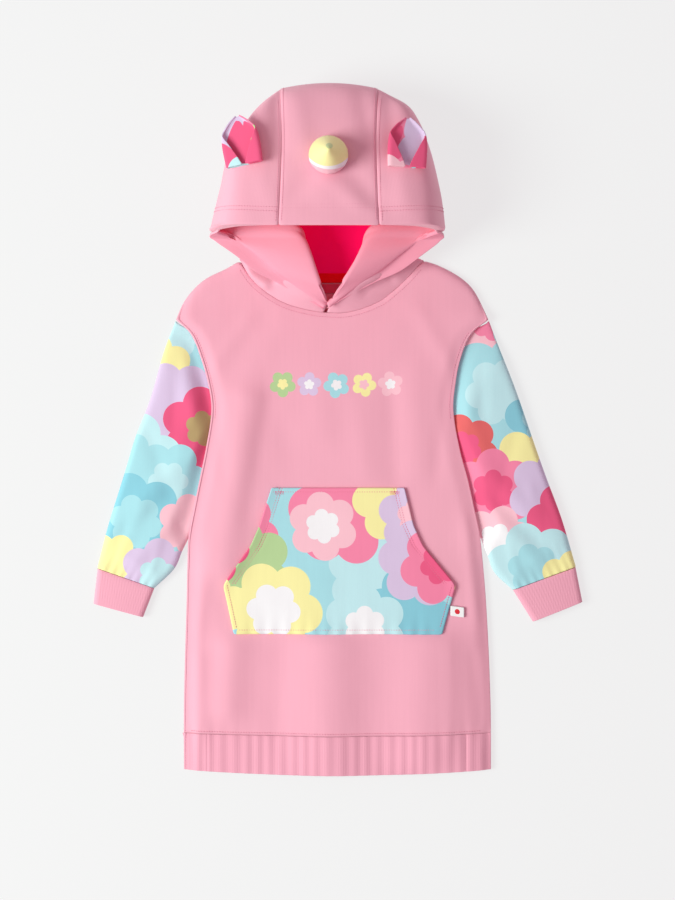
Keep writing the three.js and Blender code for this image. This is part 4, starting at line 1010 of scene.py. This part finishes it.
def make_cloth(
    name, columns, rows, surface, thickness, materials, cloth_uv, flip=False, ring=False, **shares
):
    """A grid laid on a surface, given its thickness inward and smoothed once."""
    across, down = len(columns) - 1, len(rows) - 1
    bpy.ops.object.select_all(action="DESELECT")
    bpy.ops.mesh.primitive_grid_add(x_subdivisions=across, y_subdivisions=down, size=2)
    piece = bpy.context.object
    piece.name = piece.data.name = name
    mesh = piece.data
    start = np.zeros(len(mesh.vertices) * 3)
    mesh.vertices.foreach_get("co", start)
    start = start.reshape(-1, 3)
    column = np.rint((start[:, 0] + 1) / 2 * across).astype(int)
    row = np.rint((start[:, 1] + 1) / 2 * down).astype(int)
    u, v = columns[column], rows[row]
    points = surface(u, v)
    mesh.vertices.foreach_set("co", to_frame(points).ravel())
    for label, share in shares.items():
        mesh.attributes.new(label, "FLOAT", "POINT").data.foreach_set("value", share(points).astype(np.float32))
    layer = mesh.uv_layers[0]
    layer.name = "cloth"
    layer.data.foreach_set("uv", (cloth_uv(u, v, points) * MM)[corner_vertices(mesh)].ravel())
    choose(piece)
    edits = []
    if ring:
        edits.append((bpy.ops.mesh.remove_doubles, {"threshold": 1e-6}))
    if flip:
        edits.append((bpy.ops.mesh.flip_normals, {}))
    if edits:
        in_edit_mode(*edits)
    for material in materials:
        mesh.materials.append(material)
    wall = piece.modifiers.new("thickness", "SOLIDIFY")
    wall.thickness = thickness * MM
    wall.offset = -1
    wall.use_quality_normals = True
    wall.material_offset = len(materials) - 1
    wall.edge_crease_outer = wall.edge_crease_inner = SEAM_CREASE
    smooth_once(piece)
    bpy.ops.object.shade_smooth()
    return piece


def flat_uv(u, v, points):
    return points[:, :2]


def cut_uv(name, centre):
    """Cloth coordinates of a flat piece, cut from the print at its own place."""

    def uv(u, v, points):
        return points[:, :2] - np.array(centre) + np.array(CUT_AT[name]) / MM

    return uv


def dress_with(piece, slot, *nodes):
    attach(piece, "root")
    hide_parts(*nodes)
    return piece


def steps(count, start=0.0, end=1.0):
    return np.linspace(start, end, count + 1)


def joined(*spans):
    """Grid lines over spans of count, start and end that follow one another."""
    first, *others = (steps(*span) for span in spans)
    return np.concatenate([first, *(span[1:] for span in others)])


def cut_of(surface, columns, rows):
    """The width, length and area of the flat cloth that a surface is made of, in metres."""
    u, v = np.meshgrid(columns, rows)
    p = surface(u, v) * MM
    a, b = p[1:, :-1] - p[:-1, :-1], p[:-1, 1:] - p[:-1, :-1]
    c, d = p[1:, :-1] - p[1:, 1:], p[:-1, 1:] - p[1:, 1:]
    size = np.linalg.norm(np.cross(a, b), axis=-1) + np.linalg.norm(np.cross(c, d), axis=-1)
    width = np.linalg.norm(p[:, 1:] - p[:, :-1], axis=-1).sum(axis=1).max()
    length = np.linalg.norm(p[1:] - p[:-1], axis=-1).sum(axis=0).max()
    return float(width), float(length), float(size.sum() / 2)


STITCHES = {}


def sew_piece(name, node, slot, surface, columns, rows, thickness, materials, cloth_uv, held, rests_on, **making):
    """A piece of cloth: made and dressed for its node; its flat width, length and area are worked out but not
    kept.
    """
    piece = make_cloth(name, columns, rows, surface, thickness, materials, cloth_uv, **making)
    dress_with(piece, slot, node)
    width, length, area = cut_of(surface, columns, rows)
    return piece


STITCH_SIZE = (0.74, 0.85, 0.6)  # its share of the pitch, then its width and height


def sew(name, path, on, pitch=2.9, cotton=None):
    """A row of stitches along a path: one stitch, repeated and laid along the seam."""
    path = np.asarray(path, float)
    length = np.linalg.norm(path[1:] - path[:-1], axis=-1).sum()
    line = bpy.data.curves.new(name + "_line", "CURVE")
    line.dimensions = "3D"
    spline = line.splines.new("POLY")
    spline.points.add(len(path) - 1)
    spline.points.foreach_set("co", np.c_[to_frame(path), np.ones(len(path))].ravel())
    guide = bpy.data.objects.new(name + "_line", line)
    bpy.context.scene.collection.objects.link(guide)
    bpy.ops.object.select_all(action="DESELECT")
    bpy.ops.mesh.primitive_uv_sphere_add(segments=6, ring_count=4, radius=0.5 * MM)
    row = bpy.context.object
    row.name = row.data.name = name
    row.scale = (STITCH_SIZE[0] * pitch, *STITCH_SIZE[1:])
    bpy.ops.object.transform_apply(location=False, rotation=False, scale=True)
    row.data.uv_layers[0].name = "cloth"
    repeat = row.modifiers.new("repeat", "ARRAY")
    repeat.count = max(int(length / pitch), 1)
    repeat.use_relative_offset = False
    repeat.use_constant_offset = True
    repeat.constant_offset_displace = (pitch * MM, 0, 0)
    bend = row.modifiers.new("along", "CURVE")
    bend.object = guide
    apply_modifiers(row)
    bpy.data.objects.remove(guide)
    row.data.materials.append(cotton or thread)
    bpy.ops.object.shade_smooth()
    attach(row, "root")
    STITCHES.setdefault(on.name, []).append(row)


# ---- camera, floor and light

CAMERA_HEIGHT = 2.2
VIEW_LENGTH, VIEW_CENTRE = 0.990, (0.0, -23.65, 0.0)
SENSOR = 36.0
FLOOR_SIZE = 12
view_centre = to_frame(np.array(VIEW_CENTRE))
camera_data = bpy.data.cameras.new("overhead")
camera_data.sensor_width = SENSOR
camera_data.lens = SENSOR * CAMERA_HEIGHT / VIEW_LENGTH
camera = bpy.data.objects.new("overhead", camera_data)
camera.location = (view_centre[0], view_centre[1], CAMERA_HEIGHT)
bpy.context.scene.collection.objects.link(camera)
bpy.context.scene.camera = camera
bpy.context.scene.view_settings.view_transform = "Standard"

bpy.ops.object.select_all(action="DESELECT")
bpy.ops.mesh.primitive_plane_add(size=FLOOR_SIZE)
floor = bpy.context.object
floor.name = "floor"
floor_paint = bpy.data.materials.new("pale_floor")
floor_paint.use_nodes = True
for name, value in (
    ("Base Color", (0.17, 0.17, 0.17, 1)), ("Emission Color", (1, 1, 1, 1)), ("Emission Strength", 0.72),
    ("Roughness", 0.9), ("Specular IOR Level", 0.0),
):
    floor_paint.node_tree.nodes["Principled BSDF"].inputs[name].default_value = value
floor.data.materials.append(floor_paint)


window = bpy.data.lights.new("window", "AREA")
window.shape = "DISK"
window.size = 1.8
window.energy = 106
window.color = (0.93, 1.07, 1.0)
lamp = bpy.data.objects.new("window", window)
lamp.location = (-2.5, -0.4, 2.1)
aim = -lamp.location
lamp.rotation_euler = aim.to_track_quat("-Z", "Y").to_euler()
bpy.context.scene.collection.objects.link(lamp)
world = bpy.data.worlds.new("studio")
world.use_nodes = True
sky = world.node_tree.nodes["Background"]
sky.inputs["Color"].default_value = (1.0, 0.80, 0.88, 1)
sky.inputs["Strength"].default_value = 0.47
bpy.context.scene.world = world

# ---- body

body_columns = joined((20, 0, 1), (36, 1, 2), (20, 2, 3))
body_rows = joined((44, 0, 1), (28, 1, 2), (22, 2, 3))
front = sew_piece(
    "front_panel", "front", "pink_jersey", front_surface, body_columns, body_rows, JERSEY, [chest_jersey],
    flat_uv, "laid", "back_panel", flip=True,
)
back_columns = joined((12, 0, 1), (18, 1, 2), (12, 2, 3))
back_rows = joined((24, 0, 1), (12, 1, 2), (8, 2, 3))
sew_piece(
    "back_panel", "back", "pink_jersey", back_surface, back_columns, back_rows, JERSEY, [jersey],
    flat_uv, "laid", "floor",
)

# Across its middle, the band has between five and six grid lines to a rib.
rib_columns = joined((12, 0, 0.25), (64, 0.25, 1), (440, 1, 2), (64, 2, 2.75), (12, 2.75, 3))
hem_rows = 3 + np.array([SEAM_GAP / 40, 0.03, 0.07, 0.3, 0.6, 0.9, 0.97, 1.0])
sew_piece(
    "hem_band_front", "hem_front", "pink_rib", hem_front_surface, rib_columns, hem_rows, RIB_CLOTH, [rib_knit],
    flat_uv, "laid", "hem_band_back", flip=True,
)
sew_piece(
    "hem_band_back", "hem_back", "pink_rib", back_surface, back_columns, hem_rows, RIB_CLOTH, [rib_knit],
    flat_uv, "laid", "floor",
)
pocket = sew_piece(
    "kangaroo_pocket", "pocket", "flower_print", pocket_surface, steps(64, 1, 2), steps(44, 1, 2), JERSEY,
    [flower_print], cut_uv("pocket", (0, -145)), "laid", "front_panel", flip=True,
)


TAG_X, TAG_Y = 123.6, -205
TAG_WIDTH, TAG_LENGTH = 15, 11


def tag_surface(u, v):
    x = TAG_X + u * TAG_WIDTH
    y = TAG_Y + v * TAG_LENGTH - u * 2
    return stack(x, y, front_height(x, y) + 2.1 + 0.5 * u)


sew_piece(
    "pocket_side_tag", "pocket_tag", "white_tag", tag_surface, steps(8), steps(6), TAG_CLOTH, [tag_cloth],
    lambda u, v, p: np.stack([u * TAG_WIDTH, v * TAG_LENGTH], axis=-1), "laid", "front_panel",
)

# ---- sleeves and cuffs

top_columns = 0.5 - 0.5 * np.cos(math.pi * steps(34))
low_columns = 1.5 - 0.5 * np.cos(math.pi * steps(20))
ring_columns = np.concatenate([top_columns, low_columns[1:]])
sleeve_rows = joined((52, 0, 0.84), (16, 0.84, 1))
cuff_rows = np.array([0, 0.03, 0.08, 0.3, 0.6, 0.9, 0.97, 1.0])
for side, rib_lines in (("left", 68), ("right", 72)):
    rows = SLEEVES[side]
    centre = (np.mean(rows["outer_x"] + rows["inner_x"]) / 2, -28)

    def sleeve_uv(u, v, points, side=side, centre=centre):
        base = cut_uv("sleeve_" + side, centre)(u, v, points)
        under = u > 1
        base[under, 0] += 20
        return base

    making = {"flip": side == "left", "ring": True}
    sew_piece(
        f"sleeve_{side}_cloth", "sleeve_" + side, "flower_print", sleeve_surface(side), ring_columns, sleeve_rows,
        JERSEY, [flower_print], sleeve_uv, "laid", "floor", **making,
    )
    cuff_columns = np.concatenate(
        [[0, 0.012], steps(rib_lines, 0.03, 0.97), [0.988, 1, 1.02, 1.06], steps(8, 1.12, 1.88), [1.94, 1.98, 2]]
    )
    sew_piece(
        f"cuff_{side}_rib", "cuff_" + side, "pink_rib", cuff_surface(side), cuff_columns, cuff_rows,
        RIB_CLOTH, [rib_knit], flat_uv, "laid", "floor", **making,
    )

# ---- hood

hood_centre = sew_piece(
    "hood_centre_panel", "hood_centre", "pink_jersey", hood_centre_surface, steps(26, -1, 1), steps(110),
    HOOD_CLOTH, [jersey, lining], lambda u, v, p: np.stack([p[:, 0], v * 480], axis=-1), "folded", "floor",
    flip=True, lining=hood_lining_share,
)
side_columns = joined((46, 0, 0.92), (16, 0.92, 1))
hood_sides = {
    side: sew_piece(
        f"hood_{side}_panel", "hood_" + side, "pink_jersey", dressed_hood_side(side), side_columns, steps(96),
        HOOD_CLOTH, [jersey, lining], lambda u, v, p: np.stack([u * 200, v * 420], axis=-1), "folded", "floor",
        flip=side == "right", lining=hood_lining_share,
    )
    for side in ("left", "right")
}

# ---- ears


def row_point(surface, v, out):
    """The point of a hood side's row that lies `out` from its middle line."""
    low, high = 0.0, 0.5
    for _ in range(24):
        middle = (low + high) / 2
        x = surface(np.array([middle]), np.array([v]))[0, 0]
        if abs(x - HOOD_CENTRE_X) < out:
            low = middle
        else:
            high = middle
    return surface(np.array([low]), np.array([v]))[0]


def ear_surface(side):
    """A leaf whose two sides are folded forward and meet at its foot."""
    sign = -1 if side == "left" else 1
    base = EAR_BASES[side]
    plain = hood_side_surface(side)
    v0 = base["row"] / LAST_ROW
    near, far = row_point(plain, v0, base["near"]), row_point(plain, v0, base["far"])
    middle = row_point(plain, v0, (base["near"] + base["far"]) / 2)
    across = (far - near) / np.linalg.norm(far - near) * sign
    outward = np.cross(across, [0, 1, 0])
    outward = outward / np.linalg.norm(outward)
    tilt = EAR_TILT[side]
    upward = np.array([-math.sin(tilt), math.cos(tilt), -EAR_LEAN])
    sideways = across * math.cos(tilt) + np.array([0, math.sin(tilt), 0])

    def surface(u, v):
        u, v = np.broadcast_arrays(u, v)
        half, flap, lift = (read(EAR_SHAPE, "at", name, v) for name in ("half", "flap", "lift"))
        far = np.abs(u) * (half + flap) - half
        soft = 1.3
        out = half + soft - np.sqrt(far**2 + soft**2)
        up = lift * ease(far, -5, 3.5) + 0.5 * ripple(u * 20, v * 50, 51, 18)
        centre = middle + outward * (2.2 + 1.5 * v[..., None]) + upward * EAR_LENGTH * v[..., None]
        return centre + sideways * (np.sign(u) * out)[..., None] + outward * up[..., None]

    return surface


for side in ("left", "right"):
    sew_piece(
        f"ear_{side}_leaf", "ear_" + side, "flower_print", ear_surface(side), steps(40, -1, 1), steps(26),
        EAR_CLOTH, [flower_print],
        lambda u, v, p, side=side: np.stack([u * 36, v * 55], axis=-1) + np.array(CUT_AT["ear_" + side]) / MM,
        "folded", f"hood_{side}_panel",
    )

# ---- horn


HORN_SWELL, HORN_FOOT = 1.5 * MM, 3 * MM  # how far it may swell, and what of it doesn't
HORN_MESH, HORN_PRESSURE = 2.0 * MM, 4


def make_horn():
    """The stuffed horn: the solid's own cone, remeshed and blown up a little as cloth."""
    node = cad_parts["horn"]
    low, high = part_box("horn")
    bpy.ops.object.select_all(action="DESELECT")
    horn = bpy.data.objects.new("horn_cone", node.data.copy())
    bpy.context.scene.collection.objects.link(horn)
    choose(horn)
    horn.data.materials.clear()
    in_edit_mode((bpy.ops.mesh.remove_doubles, {"threshold": 1e-6}))
    remesh = horn.modifiers.new("remesh", "REMESH")
    remesh.mode = "VOXEL"
    remesh.voxel_size = HORN_MESH
    apply_modifiers(horn)
    rest = np.array([v.co for v in horn.data.vertices])
    swell = horn.modifiers.new("fill", "CLOTH")
    swell.settings.use_pressure = True
    swell.settings.uniform_pressure_force = HORN_PRESSURE
    swell.settings.effector_weights.gravity = 0
    for frame_number in range(1, 13):
        bpy.context.scene.frame_set(frame_number)
    apply_modifiers(horn)
    bpy.context.scene.frame_set(1)
    now = np.array([v.co for v in horn.data.vertices])
    move = now - rest
    far = np.linalg.norm(move, axis=1, keepdims=True)
    now = rest + move * np.minimum(1, HORN_SWELL / np.maximum(far, 1e-9))
    seated = rest[:, 2] < low.z + HORN_FOOT
    now[seated] = rest[seated]
    horn.data.vertices.foreach_set("co", now.ravel())
    smooth_once(horn)
    points = np.array([v.co for v in horn.data.vertices])
    layer = horn.data.uv_layers.new(name="cloth")
    centre = np.array([(low.x + high.x) / 2, (low.y + high.y) / 2])
    layer.data.foreach_set("uv", (points[:, :2] - centre)[corner_vertices(horn.data)].ravel())
    horn.data.materials.append(horn_print)
    bpy.ops.object.shade_smooth()
    return dress_with(horn, "flower_print", "horn")


horn = make_horn()

# ---- neck tape and label

tape_level = JERSEY + GAP


def tape_surface(u, v):
    x = lerp(-42, 24, u)
    y = read(BACK_NECK, "x", "y", x) + 2 - 10.5 * v
    return stack(x, y, tape_level + 0.9 + 0.3 * ripple(x, y, 61, 30))


def label_surface(u, v):
    x = lerp(-17, 3, u)
    return stack(x, 158.5 - 10 * v, tape_level + 0.7 + 0 * x)


sew_piece(
    "back_neck_tape", "neck_tape", "red_lining", tape_surface, steps(24), steps(4), TAPE_CLOTH, [tape_cloth],
    flat_uv, "laid", "back_panel", flip=True,
)
sew_piece(
    "bare_neck_label", "neck_label", "white_tag", label_surface, steps(8), steps(6), LABEL_CLOTH, [label_cloth],
    flat_uv, "laid", "back_panel", flip=True,
)

# ---- sewing

LIFT = 0.15  # how far the thread stands off the cloth


def on_front(x, y):
    return stack(x, y, front_height(x, y) + LIFT)


neck_x = steps(80, -102, 89)
neck_y = read(FRONT_NECK, "x", "y", neck_x)
slope = np.gradient(neck_y, neck_x)
steep = np.hypot(slope, 1)
sew("neck_stitches", on_front(neck_x + 5 * slope / steep, neck_y - 5 / steep), front)
hem_x = steps(90, -160, 160)
hem_y = BAND_SEAM - HEM_DIP / 2 * (1 - (hem_x / HALF_HEM) ** 2)
sew("hem_stitches", on_front(hem_x, hem_y + 3), front)
for side, guide, inward in (("left", 0, 4.2), ("right", 3, -4.2)):
    arm_y = steps(40, 104, 8)
    sew(f"armhole_stitches_{side}", on_front(guide_x(guide, arm_y) + inward, arm_y), front)


def on_pocket(x, y):
    """Points on top of the pocket at places on the body."""
    left, right = guide_x(1, y), guide_x(2, y)
    across = 1 + (x - left) / (right - left)
    down = np.interp(-y, [-level for level in ZONE_LEVELS[:2]], (1, 2))
    place = pocket_surface(across, down)
    place[..., 2] += LIFT
    return place


def sew_pocket(name, x, y, pitch=2.7):
    sew(name, on_pocket(x, y), pocket, pitch, deep_thread)


open_y = steps(60, POCKET_TOP - 1, POCKET_CORNER)
low_y = steps(24, POCKET_CORNER, -220)
for side, guide, sign in (("left", 1, 1), ("right", 2, -1)):
    for k, run in enumerate(OPENING_ROWS):
        sew_pocket(f"pocket_opening_stitches_{side}_{k}", guide_x(guide, open_y) + sign * run, open_y)
    sew_pocket(f"pocket_side_stitches_{side}", guide_x(guide, low_y) + sign * EDGE_ROW, low_y)
for name, level, reach in (
    ("top", POCKET_TOP - EDGE_ROW, (-70, 71)), ("bottom", POCKET_FOOT + EDGE_ROW, (-107, 108)),
):
    edge_x = steps(60, *reach)
    sew_pocket(f"pocket_{name}_stitches", edge_x, np.full_like(edge_x, level))
for k, level in enumerate((-69, -70.4, -71.8)):
    for side, start in (("left", -68), ("right", 58)):
        bar_x = steps(8, start, start + 11)
        sew_pocket(f"pocket_bar_{side}_{k}", bar_x, np.full_like(bar_x, level), 1.3)

def on_centre(u, v):
    line = hood_centre_surface(u, v)
    line[..., 2] += LIFT
    return line


rim_u = steps(60, -0.98, 0.98)
for k, run in enumerate(RIM_HEM):
    at = np.interp(-(RIM_Y + run), -SPINE["y"][-4:], SPINE["at"][-4:])
    sew(f"rim_stitches_{k}", on_centre(rim_u, np.full_like(rim_u, at)), hood_centre)
seam_v = steps(90, 0.56, 0.995)
for side, across in (("left", -1), ("right", 1)):
    sew(f"hood_seam_stitches_{side}", on_centre(np.full_like(seam_v, across * 0.945), seam_v), hood_centre)
    surface = dressed_hood_side(side)
    panel = hood_sides[side]

    def lifted(u, v, sign=across, surface=surface):
        u, v = np.broadcast_arrays(u, v)
        normal = normal_of(surface, inside_edges(u), inside_edges(v))
        return surface(u, v) - sign * normal * LIFT

    def inset(v, run, surface=surface):
        """The share across the panel that lies `run` in from its first edge."""
        u = steps(200, 0, 0.6)
        line = surface(u[:, None], np.broadcast_to(v, (1, len(v))))
        each = np.linalg.norm(np.diff(line, axis=0), axis=-1)
        far = np.concatenate([np.zeros((1, len(v))), np.cumsum(each, axis=0)])
        return np.array([np.interp(run, far[:, k], u) for k in range(len(v))])

    seam_s = steps(80, 0.06, RIM_ROW / LAST_ROW - 0.002)
    sew(f"hood_seam_stitches_{side}_outer", lifted(inset(seam_s, 3.2), seam_s), panel)
    for k, run in enumerate(RIM_HEM):
        level = (RIM_ROW - np.interp(run, (0, 44), (0, 1))) / LAST_ROW
        rim_side = steps(60, 0.01, 0.62)
        sew(f"rim_stitches_{side}_{k}", lifted(rim_side, np.full_like(rim_side, level)), panel)
    lapel_s = steps(80, 6.9 / LAST_ROW, 11.2 / LAST_ROW)
    reach = np.interp(lapel_s * LAST_ROW, (6.9, 8, 10, 11.2), (20, 19, 15, 9))
    share = np.array([inset(lapel_s[k : k + 1], reach[k])[0] for k in range(len(lapel_s))])
    sew(f"lapel_stitches_{side}", lifted(share, lapel_s), panel)
